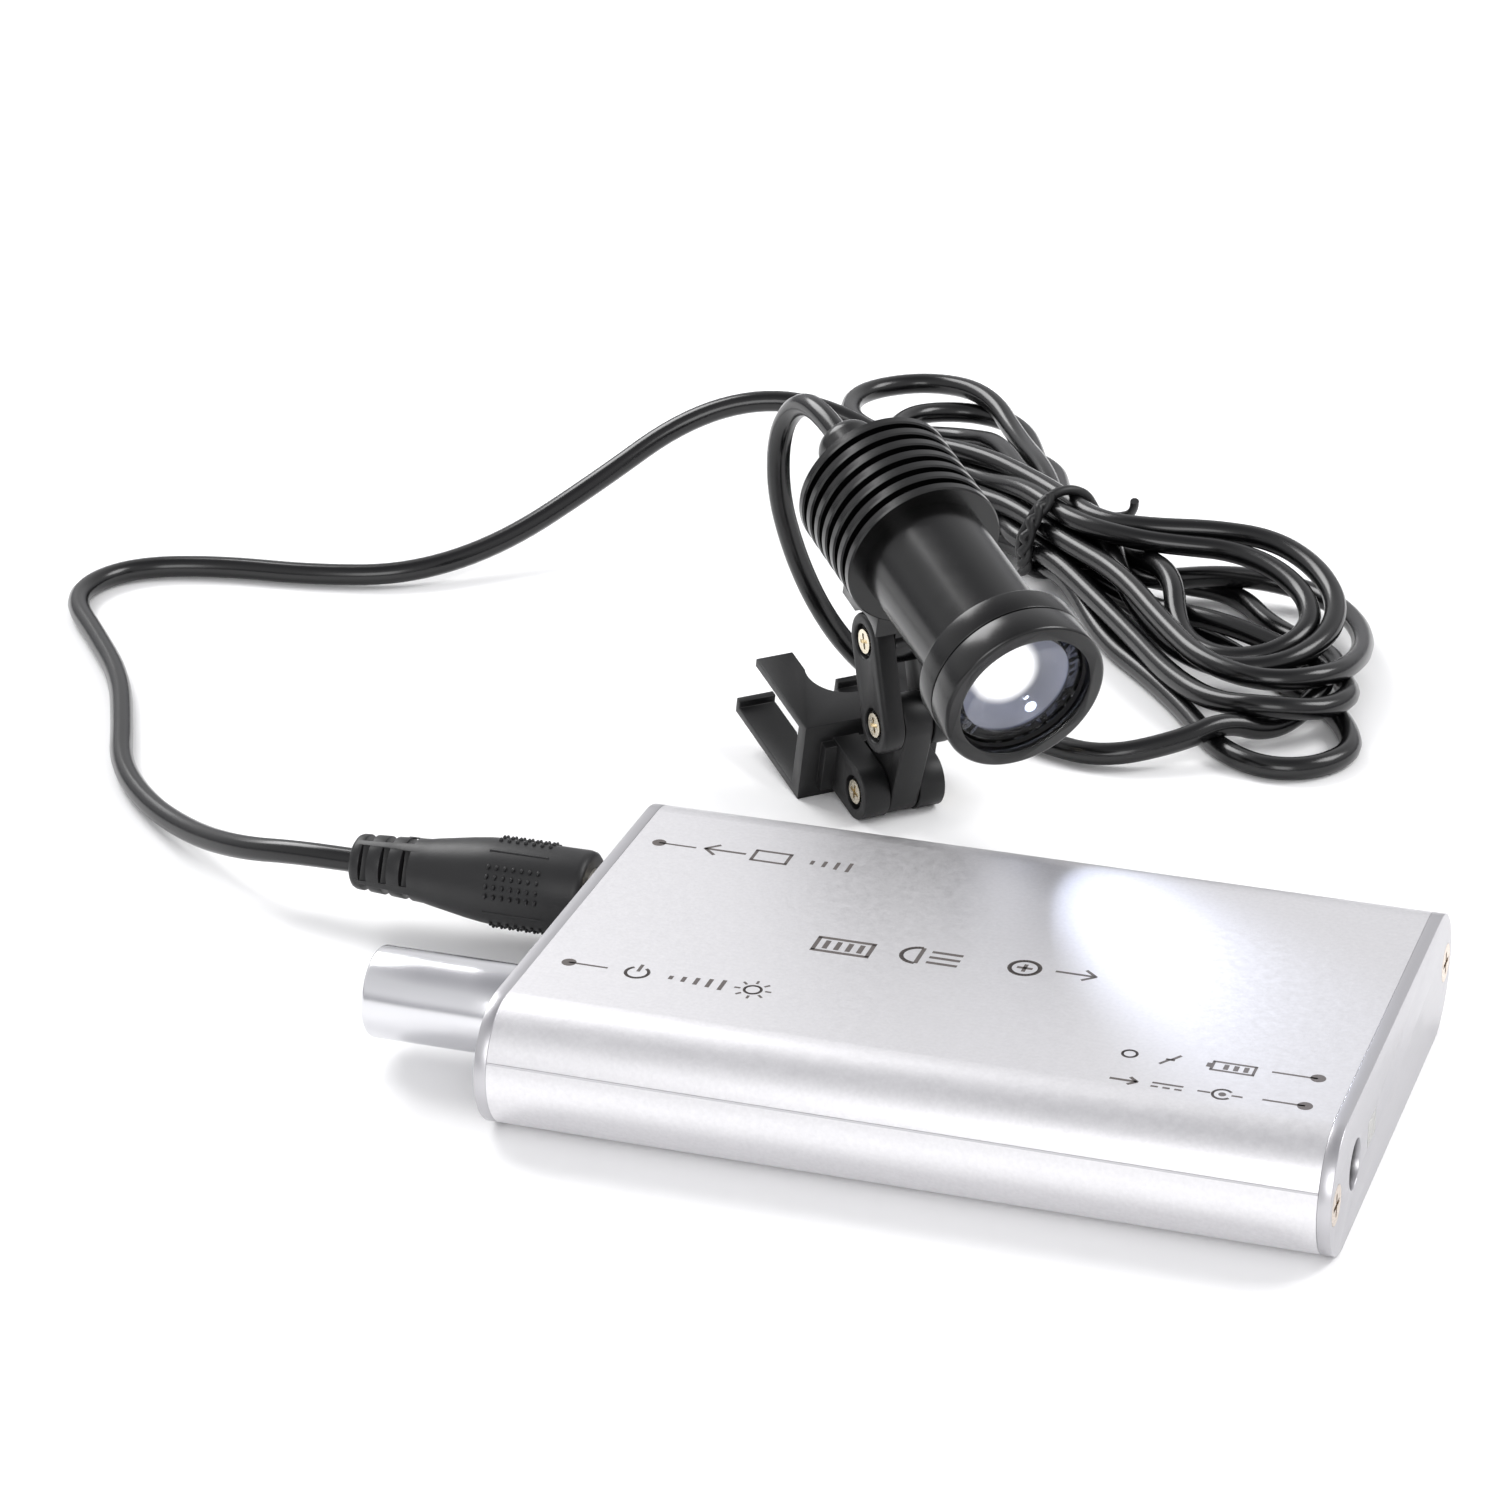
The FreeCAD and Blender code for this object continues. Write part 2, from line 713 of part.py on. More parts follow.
def rounded_route(points):
    """Wire of straight runs joined by tangent arcs, with the smallest arc radius."""
    edges = []
    cursor = points[0]
    smallest = 1e9
    for before, corner, after in zip(points, points[1:], points[2:]):
        inward = corner - before
        outward = after - corner
        turn = inward.getAngle(outward)
        reach = 0.45 * min(inward.Length, outward.Length)
        radius = reach / math.tan(turn / 2)
        smallest = min(smallest, radius)
        start = corner - inward.normalize() * reach
        end = corner + outward.normalize() * reach
        to_centre = (outward - inward).normalize()
        centre = corner + to_centre * (radius / math.cos(turn / 2))
        middle = centre - to_centre * radius
        edges.append(Part.LineSegment(cursor, start).toShape())
        edges.append(Part.Arc(start, middle, end).toShape())
        cursor = end
    edges.append(Part.LineSegment(cursor, points[-1]).toShape())
    return Part.Wire(edges), smallest


def cord_tube(label, points):
    """Round cord of constant section along a route of hand-chosen points."""
    spine, smallest = rounded_route(points)
    direction = (points[1] - points[0]).normalize()
    ring = Part.Wire(Part.Circle(points[0], direction, size("cord_radius")).toShape())
    tube = spine.makePipeShell([ring], True, False)
    ideal = math.pi * size("cord_radius") ** 2 * spine.Length
    print(label, "length", round(spine.Length, 1), "smallest radius", round(smallest, 1),
          "volume ratio", round(tube.Volume / ideal, 3), "lowest", round(tube.BoundBox.ZMin, 2))
    item = document.addObject("Part::Feature", label)
    item.Shape = tube
    return keep(item, label)


def hank_section(index, grow=0.0):
    """Oval across the hank at one station, square to the hank's run."""
    x, y, z, width, height = HANK_SECTIONS[index]
    before = HANK_SECTIONS[max(index - 1, 0)]
    after = HANK_SECTIONS[min(index + 1, len(HANK_SECTIONS) - 1)]
    run = Vector(after[0] - before[0], after[1] - before[1], 0).normalize()
    across = Vector(-run.y, run.x, 0)
    oval = Part.Ellipse()
    oval.MajorRadius = max(width, height) / 2 + grow
    oval.MinorRadius = min(width, height) / 2 + grow
    first = across if width >= height else Vector(0, 0, 1)
    turn = Rotation(first, Vector(0, 0, 1) if width >= height else across, run, "XYZ")
    shape = oval.toShape()
    shape.Placement = Placement(Vector(x, y, z), turn)
    return Part.Wire(shape)


def build_cord():
    start = Vector(plug_tail, size("output_offset"), mid_height)
    supply = [start] + [Vector(*point) for point in SUPPLY_ROUTE]
    cord_tube("cord_supply", supply)
    exit_station = size("flange_station") + finned_length() + size("gland_length")
    gland_exit = lamp_frame.multVec(Vector(0, 0, exit_station))
    lamp_points = [Vector(*point) for point in LAMP_ROUTE] + [gland_exit]
    cord_tube("cord_lamp", lamp_points)
    hank = document.addObject("Part::Feature", "cord_hank")
    hank.Shape = Part.makeLoft([hank_section(i) for i in range(len(HANK_SECTIONS))], True, False)
    keep(hank, "cord_hank")
    build_twist_tie()


def build_twist_tie():
    """Plastic-covered wire bound once round the middle of the hank, with a twisted tail."""
    x, y, z, width, height = HANK_SECTIONS[TIE_SECTION]
    wire = size("tie_radius")
    spine = hank_section(TIE_SECTION, wire)
    edge = spine.Edges[0]
    point = edge.valueAt(edge.FirstParameter)
    tangent = edge.tangentAt(edge.FirstParameter)
    ring = Part.Wire(Part.Circle(point, tangent, wire).toShape())
    loop = spine.makePipeShell([ring], True, False)
    root = Vector(x, y, z + height / 2 + wire)
    tail = Part.makeCylinder(size("tie_tail_radius"), size("tie_tail_length"), root,
                             TIE_TAIL_DIRECTION)
    item = document.addObject("Part::Feature", "twist_tie")
    item.Shape = loop.fuse(tail)
    keep(item, "twist_tie")


# ---------------------------------------------------------------- lamp head

def finned_length():
    """Length of the finned body from its front flange to its tail face."""
    return (size("fin_count") - 1) * size("fin_pitch") + size("fin_thickness")


LENS_ROOM = "@lens_radius"
FIN_LENGTH = "((@fin_count - 1) * @fin_pitch + @fin_thickness)"
TAIL = "(@flange_station + %s)" % FIN_LENGTH


def build_lens():
    """Front ring, gasket and the domed lens between them and the barrel."""
    seat = "@lens_seat"
    ring = turned("lens_ring",
                  [("@lens_opening", "0"), ("@bezel_radius", "0"),
                   ("@bezel_radius", "@lens_ring_length"),
                   (LENS_ROOM, "@lens_ring_length"), (LENS_ROOM, "@lens_lip"),
                   ("@lens_opening", "@lens_lip")], lamp_frame)
    rim = size("bezel_radius")
    round_edges(ring, "@ring_chamfer", lambda edge: is_ring(edge, rim, 0.0), "PartDesign::Chamfer")
    turned("lens_gasket",
           [("@lens_opening + @gasket_gap", "@lens_lip"), ("@lens_radius", "@lens_lip"),
            ("@lens_radius", seat), ("@lens_opening + @gasket_gap", seat)], lamp_frame)
    bulge = size("lens_bulge")
    reach = size("lens_opening") - size("relief_gap")
    ball = (reach ** 2 + bulge ** 2) / (2 * bulge)
    front = size("lens_seat") - bulge
    dome = document.addObject("Part::Sphere", "dome")
    dome.Radius = ball
    dome.Placement = Placement(Vector(0, 0, front + ball), Rotation())
    core = cylinder("@lens_opening - @relief_gap", "@lens_bulge",
                    Placement(Vector(0, 0, front), Rotation()))
    cap = document.addObject("Part::Common", "cap")
    cap.Base = dome
    cap.Tool = core
    rim_disc = cylinder("@lens_radius", "@lens_edge",
                        Placement(Vector(0, 0, size("lens_seat")), Rotation()))
    keep(fused([cap, rim_disc]), "lens", lamp_frame)


def build_barrel():
    back = "(@lens_seat + @lens_edge)"
    shoulder = "@lens_ring_length + @ring_gap"
    bezel = turned("bezel_ring",
                   [("@barrel_outer", back), ("@lens_radius", back), ("@lens_radius", shoulder),
                    ("@bezel_radius", shoulder),
                    ("@bezel_radius", "@bezel_length"), ("@barrel_outer", "@bezel_length")],
                   lamp_frame)
    rim = size("bezel_radius")
    station = size("bezel_length")
    round_edges(bezel, "@ring_chamfer", lambda edge: is_ring(edge, rim, station), "PartDesign::Chamfer")
    inner = "@spigot_radius - @spigot_wall"
    step = "@flange_station - 2 * @spigot_wall"
    turned("lamp_barrel",
           [("@barrel_bore", back), ("@barrel_outer", back), ("@barrel_outer", "@flange_station"),
            ("@spigot_radius", "@flange_station"),
            ("@spigot_radius", "@flange_station + @spigot_length"),
            (inner, "@flange_station + @spigot_length"), (inner, step), ("@barrel_bore", step)],
           lamp_frame)


def build_heat_sink():
    """Finned aluminium body that carries the light source and the gland."""
    body = new_body("heat_sink")
    board_seat = "(@flange_station + @spigot_length + @led_board_thickness)"
    corners = [("@spigot_radius", "@flange_station"),
               ("@spigot_radius", "@flange_station + @spigot_length"),
               ("@led_board_radius", "@flange_station + @spigot_length"),
               ("@led_board_radius", board_seat), ("@wire_passage", board_seat),
               ("@wire_passage", TAIL + " - @gland_thread_length"),
               ("@gland_thread_radius", TAIL + " - @gland_thread_length"),
               ("@gland_thread_radius", TAIL)]
    last = int(size("fin_count")) - 1
    edge = "@fin_radius - @fin_edge"
    for number in range(last, -1, -1):
        front = "@flange_station + %d * @fin_pitch" % number
        back = front + " + @fin_thickness"
        if number < last:
            corners.append(("@fin_core_radius", back))
        corners += [(edge, back), ("@fin_radius", back + " - @fin_edge"),
                    ("@fin_radius", front + " + @fin_edge"), (edge, front)]
        if number > 0:
            corners.append(("@fin_core_radius", front))
    spin(body, polygon(body, "XZ_Plane", corners))
    keep(body, "heat_sink", lamp_frame)


def build_light_source():
    seat = size("flange_station") + size("spigot_length")
    board = cylinder("@led_board_radius", "@led_board_thickness")
    keep(board, "led_board", lamp_frame.multiply(Placement(Vector(0, 0, seat), Rotation())))
    half = size("led_width") / 2
    package = block("@led_width", "@led_width", "@led_height")
    spot = Placement(Vector(-half, -half, seat - size("led_height")), Rotation())
    keep(package, "led_package", lamp_frame.multiply(spot))
    dome = document.addObject("Part::Sphere", "dome")
    dome.setExpression("Radius", cell("@led_dome_radius"))
    dome.Angle1 = 0
    dome.Placement = Placement(Vector(0, 0, seat - size("led_height")), Rotation(Vector(1, 0, 0), 180))
    keep(dome, "led_dome", lamp_frame.multiply(dome.Placement))
    inner = "@spigot_radius - @spigot_wall"
    back = "@flange_station + @spigot_length"
    front = back + " - @retainer_thickness"
    turned("led_retainer",
           [("@retainer_hole", front), (inner, front), (inner, back), ("@retainer_hole", back)],
           lamp_frame)
    leads = []
    start = seat + size("led_board_thickness")
    end = size("flange_station") + finned_length()
    length = end - size("gland_thread_length") - start
    for side in (-1, 1):
        lead = document.addObject("Part::Cylinder", "lead")
        lead.setExpression("Radius", cell("@lead_radius"))
        lead.Height = length
        lead.Placement = Placement(Vector(side * size("lead_spread"), 0, start), Rotation())
        leads.append(lead)
    keep(group(leads), "led_leads", lamp_frame)


def build_gland():
    """Rounded tail gland that holds the cord's end."""
    gland = turned("cable_gland",
                   [("0", TAIL + " - @gland_thread_length"),
                    ("@gland_thread_radius", TAIL + " - @gland_thread_length"),
                    ("@gland_thread_radius", TAIL), ("@gland_radius", TAIL),
                    ("@gland_radius", TAIL + " + @gland_length"), ("0", TAIL + " + @gland_length")],
                   lamp_frame)
    rim = size("gland_radius")
    station = size("flange_station") + finned_length() + size("gland_length")
    round_edges(gland, "@gland_round", lambda edge: is_ring(edge, rim, station))


# ---------------------------------------------------------------- hinge chain

def link_plate(body, length, thickness, radius, offset):
    """Plate with two round ends, centres on local Z, made along the pin's direction."""
    pad(body, rectangle(body, "YZ_Plane", "-" + radius, radius, "0", length, offset), thickness)
    for station in ("0", length):
        pad(body, circle(body, "YZ_Plane", "0", station, radius, offset), thickness)


def bore(body, across, up, radius, length, offset):
    pocket(body, circle(body, "YZ_Plane", across, up, radius, offset), length)


PLATE_INNER = "(@tongue_thickness / 2 + @side_gap)"
PLATE_OUTER = "(%s + @link_plate_thickness)" % PLATE_INNER
EAR_OUTER = "(%s + @ear_thickness)" % PLATE_INNER
PIN_BORE = "(@pin_radius + @running_gap)"
plate_inner = size("tongue_thickness") / 2 + size("side_gap")
plate_outer = plate_inner + size("link_plate_thickness")
ear_outer = plate_inner + size("ear_thickness")


def build_saddle():
    """Bracket under the heat sink with the tongue that the upper links hinge on."""
    body = new_body("hinge_saddle")
    drop = "@pin_drop"
    bottom = "@fin_radius + @saddle_depth"
    front = "@flange_station + @saddle_step"
    pad(body, rectangle(body, "YZ_Plane", "@fin_radius - @saddle_sink", bottom, front,
                        front + " + @saddle_length", "-" + PLATE_OUTER), "2 * " + PLATE_OUTER)
    pocket(body, circle(body, "YZ_Plane", drop, "@pin_station", "@link_radius + @relief_gap",
                        "-" + PLATE_OUTER), "2 * " + PLATE_OUTER)
    half = "@tongue_thickness / 2"
    top = "@fin_radius + @saddle_step"
    pad(body, rectangle(body, "YZ_Plane", top, drop, "@pin_station - 0.8 * @tongue_radius",
                        "@pin_station + @tongue_radius", "-" + half), "@tongue_thickness")
    pad(body, circle(body, "YZ_Plane", drop, "@pin_station", "@tongue_radius", "-" + half),
        "@tongue_thickness")
    bore(body, drop, "@pin_station", PIN_BORE, "@tongue_thickness", "-" + half)
    pocket(body, circle(body, "XY_Plane", "0", "0", "@fin_radius", front), "@saddle_length")
    keep(body, "hinge_saddle", lamp_frame)


def build_links():
    for label, side in (("upper_link_near", -1), ("upper_link_far", 1)):
        body = new_body(label)
        low = "-" + PLATE_OUTER if side < 0 else PLATE_INNER
        link_plate(body, "@upper_link_length", "@link_plate_thickness", "@link_radius", low)
        for station in ("0", "@upper_link_length"):
            bore(body, "0", station, "@pin_radius", "@link_plate_thickness", low)
            if side < 0:
                bore(body, "0", station, "@head_recess_radius", "@head_recess_depth", low)
            else:
                deep = PLATE_OUTER + " - @nut_recess_depth"
                bore(body, "0", station, "@nut_recess_radius", "@nut_recess_depth", deep)
        outer = -plate_outer if side < 0 else plate_outer
        round_edges(body, "@link_chamfer",
                    lambda edge: on_rim(edge, outer, size("link_radius")), "PartDesign::Chamfer")
        keep(body, label, upper_frame)
    body = new_body("lower_link")
    half = "@tongue_thickness / 2"
    link_plate(body, "@lower_link_length", "@tongue_thickness", "@tongue_radius", "-" + half)
    for station in ("0", "@lower_link_length"):
        bore(body, "0", station, PIN_BORE, "@tongue_thickness", "-" + half)
    keep(body, "lower_link", lower_frame)


def on_rim(edge, face, radius):
    """True for an outline edge lying in the plane X = face, outside the bores."""
    box = edge.BoundBox
    if abs(box.XMin - face) > 0.01 or abs(box.XMax - face) > 0.01:
        return False
    curve = edge.Curve
    return not hasattr(curve, "Radius") or abs(curve.Radius - radius) < 0.01


def build_pin(label, outer, place):
    """Cross-recessed screw from the near side and the nut that closes it."""
    floor = -(outer - size("head_recess_depth"))
    nut_floor = outer - size("nut_recess_depth")
    head = size("pin_head_height")
    radius = size("pin_head_radius")
    top = floor - head
    turn = Rotation(Vector(0, 1, 0), 90)
    shank = document.addObject("Part::Cylinder", "shank")
    shank.setExpression("Radius", cell("@pin_radius"))
    shank.Height = nut_floor + size("nut_thickness") - floor
    shank.Placement = Placement(Vector(floor, 0, 0), turn)
    cap = cylinder("@pin_head_radius", "@pin_head_height", Placement(Vector(top, 0, 0), turn))
    slots = []
    for length, width in ((1.3, 0.3), (0.3, 1.3)):
        slot = block("@pin_head_height * 0.6", "@pin_head_radius * %s" % length,
                     "@pin_head_radius * %s" % width,
                     Placement(Vector(top, -radius * length / 2, -radius * width / 2), Rotation()))
        slots.append(slot)
    keep(cut(cut(fused([shank, cap]), slots[0]), slots[1]), label + "_screw", place)
    prism = document.addObject("Part::Prism", "hexagon")
    prism.Polygon = 6
    prism.setExpression("Circumradius", cell("@nut_circumradius"))
    prism.setExpression("Height", cell("@nut_thickness"))
    hole = cylinder("@pin_radius", "@nut_thickness")
    nut = cut(prism, hole)
    seat = Placement(Vector(nut_floor, 0, 0), turn)
    keep(nut, label + "_nut", place.multiply(seat))


# ---------------------------------------------------------------- clip

def build_clip():
    """Forked channel clip: two notched plates, a front wall and two hinge ears."""
    body = new_body("clip")
    sink = math.sin(math.radians(size("clip_tilt"))) * size("clip_setback")
    base = -(size("ear_radius") + sink) / math.cos(math.radians(size("clip_tilt")))
    low = "%.4f" % base
    high = low + " + @clip_height"
    front = "@clip_setback"
    half = "@clip_width / 2"
    start = "-" + half
    top_end = front + " + @clip_top_depth"
    bottom_end = front + " + @clip_bottom_depth"
    pad(body, rectangle(body, "YZ_Plane", front, front + " + @clip_wall", low, high, start),
        "@clip_width")
    pad(body, rectangle(body, "YZ_Plane", front, top_end, high + " - @clip_plate", high, start),
        "@clip_width")
    pad(body, rectangle(body, "YZ_Plane", front, bottom_end, low, low + " + @clip_plate", start),
        "@clip_width")
    pad(body, rectangle(body, "YZ_Plane", bottom_end + " - @clip_lip", bottom_end, low,
                        low + " + @clip_plate + @clip_lip", start), "@clip_width")
    centre = top_end + " - @notch_reach"
    pocket(body, circle(body, "XY_Plane", "0", centre, "@notch_radius", low), "@clip_height")
    notch = "@notch_width / 2"
    pocket(body, rectangle(body, "XY_Plane", "-" + notch, notch, centre,
                           bottom_end + " + @clip_lip", low), "@clip_height")
    for side in (-1, 1):
        inner = PLATE_INNER if side > 0 else "-" + EAR_OUTER
        radius = "@ear_radius"
        pad(body, rectangle(body, "YZ_Plane", "0", front, "-" + radius, radius, inner),
            "@ear_thickness")
        pad(body, circle(body, "YZ_Plane", "0", "0", radius, inner), "@ear_thickness")
    foot = "(%s + @foot_overhang)" % EAR_OUTER
    pad(body, rectangle(body, "YZ_Plane", front + " - @ear_pad", front, "-@ear_radius",
                        "@ear_radius - @foot_step", "-" + foot), "2 * " + foot)
    for side in (-1, 1):
        inner = PLATE_INNER if side > 0 else "-" + EAR_OUTER
        bore(body, "0", "0", "@pin_radius", "@ear_thickness", inner)
    bore(body, "0", "0", "@head_recess_radius", "@head_recess_depth", "-" + EAR_OUTER)
    deep = EAR_OUTER + " - @nut_recess_depth"
    bore(body, "0", "0", "@nut_recess_radius", "@nut_recess_depth", deep)
    keep(body, "clip", clip_frame)


# ---------------------------------------------------------------- build, check and write

def check_and_write():
    document.recompute()
    for item in document.Objects:
        if "Invalid" in item.State or "Error" in item.State:
            raise RuntimeError("%s failed: %s" % (item.Label, item.State))
    os.makedirs("parts", exist_ok=True)
    for item in PIECES:
        shape = item.Shape
        if shape.isNull() or not shape.isValid() or not shape.Solids:
            raise RuntimeError("%s has no valid solid" % item.Label)
    for item in PIECES:
        item.Shape.exportStep("parts/%s.step" % item.Label)
    print(len(PIECES), "sub-parts written")


build_case()
build_electronics()
build_output_jack()
build_dimmer()
build_plug()
build_lens()
build_barrel()
build_heat_sink()
build_light_source()
build_gland()
build_saddle()
build_links()
build_pin("upper_hinge", plate_outer, upper_pin_frame)
build_pin("middle_hinge", plate_outer, upper_frame)
build_pin("lower_hinge", ear_outer, clip_frame)
build_clip()
build_cord()
check_and_write()
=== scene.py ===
import math

import bpy
import numpy as np
from mathutils import Euler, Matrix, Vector


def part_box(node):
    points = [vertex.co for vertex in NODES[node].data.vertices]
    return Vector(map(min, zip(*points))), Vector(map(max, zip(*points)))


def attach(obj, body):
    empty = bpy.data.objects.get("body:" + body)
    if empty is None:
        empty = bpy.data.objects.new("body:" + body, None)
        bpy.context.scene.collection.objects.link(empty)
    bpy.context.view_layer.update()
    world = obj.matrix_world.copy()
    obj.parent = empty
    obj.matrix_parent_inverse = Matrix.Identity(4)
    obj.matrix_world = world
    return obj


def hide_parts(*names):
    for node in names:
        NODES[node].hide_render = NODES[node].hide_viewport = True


bl_info = {
    "name": "Clip-on headlight",
    "version": (1, 0, 0),
    "blender": (4, 5, 0),
    "location": "View3D > Sidebar > Headlight",
    "description": "Looks of a clip-on LED headlight with its cord and battery pack",
    "category": "Object",
}

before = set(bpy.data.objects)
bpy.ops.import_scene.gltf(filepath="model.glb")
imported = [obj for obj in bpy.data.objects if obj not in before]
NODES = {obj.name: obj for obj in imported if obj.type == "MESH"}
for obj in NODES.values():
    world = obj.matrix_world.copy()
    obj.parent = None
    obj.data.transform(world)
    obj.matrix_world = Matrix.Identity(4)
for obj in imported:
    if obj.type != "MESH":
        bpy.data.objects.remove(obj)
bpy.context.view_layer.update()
ROOT_BODY = "pack_and_lamp"
MM = 0.001  # places and sizes are typed in millimetres where MM turns them to metres

# ---- cord route

# The free runs, in metres, as in the CAD source: from the plug to the hank, and from the
# hank to the lamp's gland.
PLUG_TAIL = (-0.0811, 0.0155, 0.00775)
SUPPLY_ROUTE = [
    (-0.0900, 0.0159, 0.0075),
    (-0.0990, 0.0192, 0.0052),
    (-0.1085, 0.0256, 0.0028),
    (-0.1185, 0.0336, 0.0018),
    (-0.1269, 0.0435, 0.0017),
    (-0.1323, 0.0555, 0.0017),
    (-0.1390, 0.0690, 0.0017),
    (-0.1486, 0.0813, 0.0017),
    (-0.1563, 0.0905, 0.0017),
    (-0.1570, 0.0985, 0.0017),
    (-0.1526, 0.1052, 0.0017),
    (-0.1422, 0.1088, 0.0017),
    (-0.1285, 0.1098, 0.0017),
    (-0.1155, 0.1132, 0.0020),
    (-0.1054, 0.1236, 0.0038),
    (-0.0963, 0.1370, 0.0090),
    (-0.0856, 0.1466, 0.0170),
    (-0.0735, 0.1503, 0.0203),
    (-0.0620, 0.1530, 0.0170),
    (-0.0520, 0.1520, 0.0105),
    (-0.0420, 0.1480, 0.0050),
]
LAMP_ROUTE = [
    (0.0020, 0.0886, 0.0020),
    (-0.0073, 0.0840, 0.00175),
    (-0.0165, 0.0868, 0.00175),
    (-0.0255, 0.0918, 0.00175),
    (-0.0340, 0.0950, 0.0020),
    (-0.0413, 0.0946, 0.0048),
    (-0.0453, 0.0923, 0.0102),
    (-0.0483, 0.0902, 0.0166),
    (-0.0508, 0.0889, 0.0240),
    (-0.0526, 0.0886, 0.0316),
    (-0.0522, 0.0880, 0.0399),
    (-0.0490, 0.0853, 0.0452),
    (-0.0444, 0.0805, 0.0470),
]
GLAND_EXIT = (-0.0399, 0.0757, 0.0450)

# The hank is tied at its waist. Each strand has a place in the waist's cross-section,
# (across, up) in millimetres; each turn is the run from one strand to the next.
WAIST = Vector((-0.0290, 0.1430, 0.0078))
WAIST_RUN = Vector((0.72, -0.69, 0.0)).normalized()
WAIST_REACH = 0.008
STRANDS = [
    (-3.05, -4.0), (3.05, -4.0), (-4.6, -1.35), (-1.53, -1.35), (-3.05, 1.3), (1.53, -1.35),
    (-1.53, 3.95), (4.6, -1.35), (1.53, 3.95), (3.05, 1.3), (0.0, -4.0),
]
# Turns of the right lobe, in millimetres.
RIGHT_TURNS = [
    [(-17.1, 121.7, 1.5), (-8.0, 111.7, 1.5), (-0.6, 102.1, 1.5), (6.2, 93.5, 1.5),
     (12.5, 87.6, 1.5), (19.4, 88.3, 1.5), (22.0, 95.7, 1.5), (19.7, 103.9, 1.5),
     (15.5, 110.1, 1.5), (6.6, 117.5, 1.5), (-4.5, 127.6, 1.5), (-15.3, 136.7, 1.6)],
    [(-20.6, 127.8, 5.0), (-11.7, 117.1, 4.6), (-3.9, 106.4, 4.4), (3.5, 99.1, 4.4),
     (11.1, 96.9, 4.6), (17.5, 101.1, 4.6), (19.1, 108.5, 4.4), (16.5, 116.5, 3.4),
     (11.4, 125.7, 2.0), (2.7, 134.1, 1.5), (-8.5, 141.6, 1.5), (-18.1, 145.6, 2.2)],
    [(-15.8, 127.7, 7.6), (-6.4, 114.7, 7.2), (1.2, 106.0, 7.0),
     (10.0, 102.0, 6.8), (17.4, 107.5, 5.6), (19.1, 118.8, 4.4), (16.7, 130.7, 3.6),
     (10.9, 140.3, 3.0), (3.1, 145.2, 2.6), (-6.0, 143.6, 3.4), (-14.6, 136.4, 5.0)],
    [(-15.6, 135.6, 10.8), (-9.6, 136.5, 10.5), (-3.0, 136.9, 10.5), (4.0, 133.5, 10.0),
     (9.5, 127.5, 8.4), (11.0, 120.2, 6.6), (8.1, 113.2, 5.0), (1.5, 111.7, 4.6),
     (-5.3, 117.2, 4.6), (-12.6, 127.8, 4.6)],
    [(-14.8, 137.2, 11.6), (-6.5, 139.8, 11.8), (2.0, 139.6, 11.6), (9.2, 134.7, 10.4),
     (13.9, 127.4, 8.6), (14.6, 119.0, 6.8), (10.6, 111.2, 5.6), (3.3, 108.5, 5.4),
     (-4.4, 113.3, 5.4), (-11.3, 122.7, 5.4), (-17.5, 130.0, 5.4)],
    [(-12.2, 129.8, 5.6), (-3.5, 124.9, 5.4), (5.3, 121.7, 4.8), (12.5, 118.3, 3.8),
     (16.7, 112.1, 2.8), (15.9, 104.5, 2.2), (11.9, 98.6, 1.8), (7.2, 93.6, 1.7)],
]
# Turns of the left lobe: distance from the waist to the fold's centre, fold radius and
# three heights (going out, at the tip, coming back) in millimetres, and swing in degrees.
LEFT_TURNS = [
    (38.0, 8.6, 1.8, 1.8, 4.0, -7.0),
    (33.0, 8.4, 4.2, 5.2, 7.6, 6.0),
    (43.0, 8.8, 5.4, 7.4, 9.6, -2.0),
    (48.0, 10.6, 7.4, 9.5, 10.6, 3.0),
    (41.0, 9.0, 9.0, 5.0, 1.8, 10.0),
]
LOBE_RUN = Vector((-0.62, 0.785, 0.0)).normalized()
# A teardrop's legs: (share of the reach, share of the fold's radius), going out.
LEG = ((0.42, 0.5), (0.72, 0.95))
FOLD_BULGE = 1.1
FOLD_STEPS = (-90, -30, 30, 90)


def lobe_turn(reach, radius, low, tip, high, swing):
    """One teardrop turn of the left lobe, from the waist out, round its fold and back."""
    run = LOBE_RUN.copy()
    run.rotate(Euler((0, 0, math.radians(swing))))
    side = Vector((run.y, -run.x, 0))
    spots = [(u * reach, v * radius, low) for u, v in LEG]
    spots += [(reach + FOLD_BULGE * radius * math.cos(math.radians(a)),
               -FOLD_BULGE * radius * math.sin(math.radians(a)), tip) for a in FOLD_STEPS]
    spots += [(u * reach, -v * radius, high) for u, v in reversed(LEG)]
    return [WAIST + (run * u + side * v) * MM + Vector((0, 0, z * MM - WAIST.z))
            for u, v, z in spots]


# ---- small helpers

def rgb(code):
    """Linear colour of an sRGB hex value."""
    parts = [int(code[i:i + 2], 16) / 255 for i in (1, 3, 5)]
    return tuple(c / 12.92 if c <= 0.04045 else ((c + 0.055) / 1.055) ** 2.4 for c in parts)


def node(tree, kind, links=None, **settings):
    """Add a node, set its properties or input sockets and link the inputs named in links."""
    new = tree.nodes.new(kind)
    for key, value in settings.items():
        if hasattr(new, key):
            setattr(new, key, value)
        else:
            new.inputs[key.replace("_", " ")].default_value = value
    for key, source in (links or {}).items():
        tree.links.new(source, new.inputs[key])
    return new


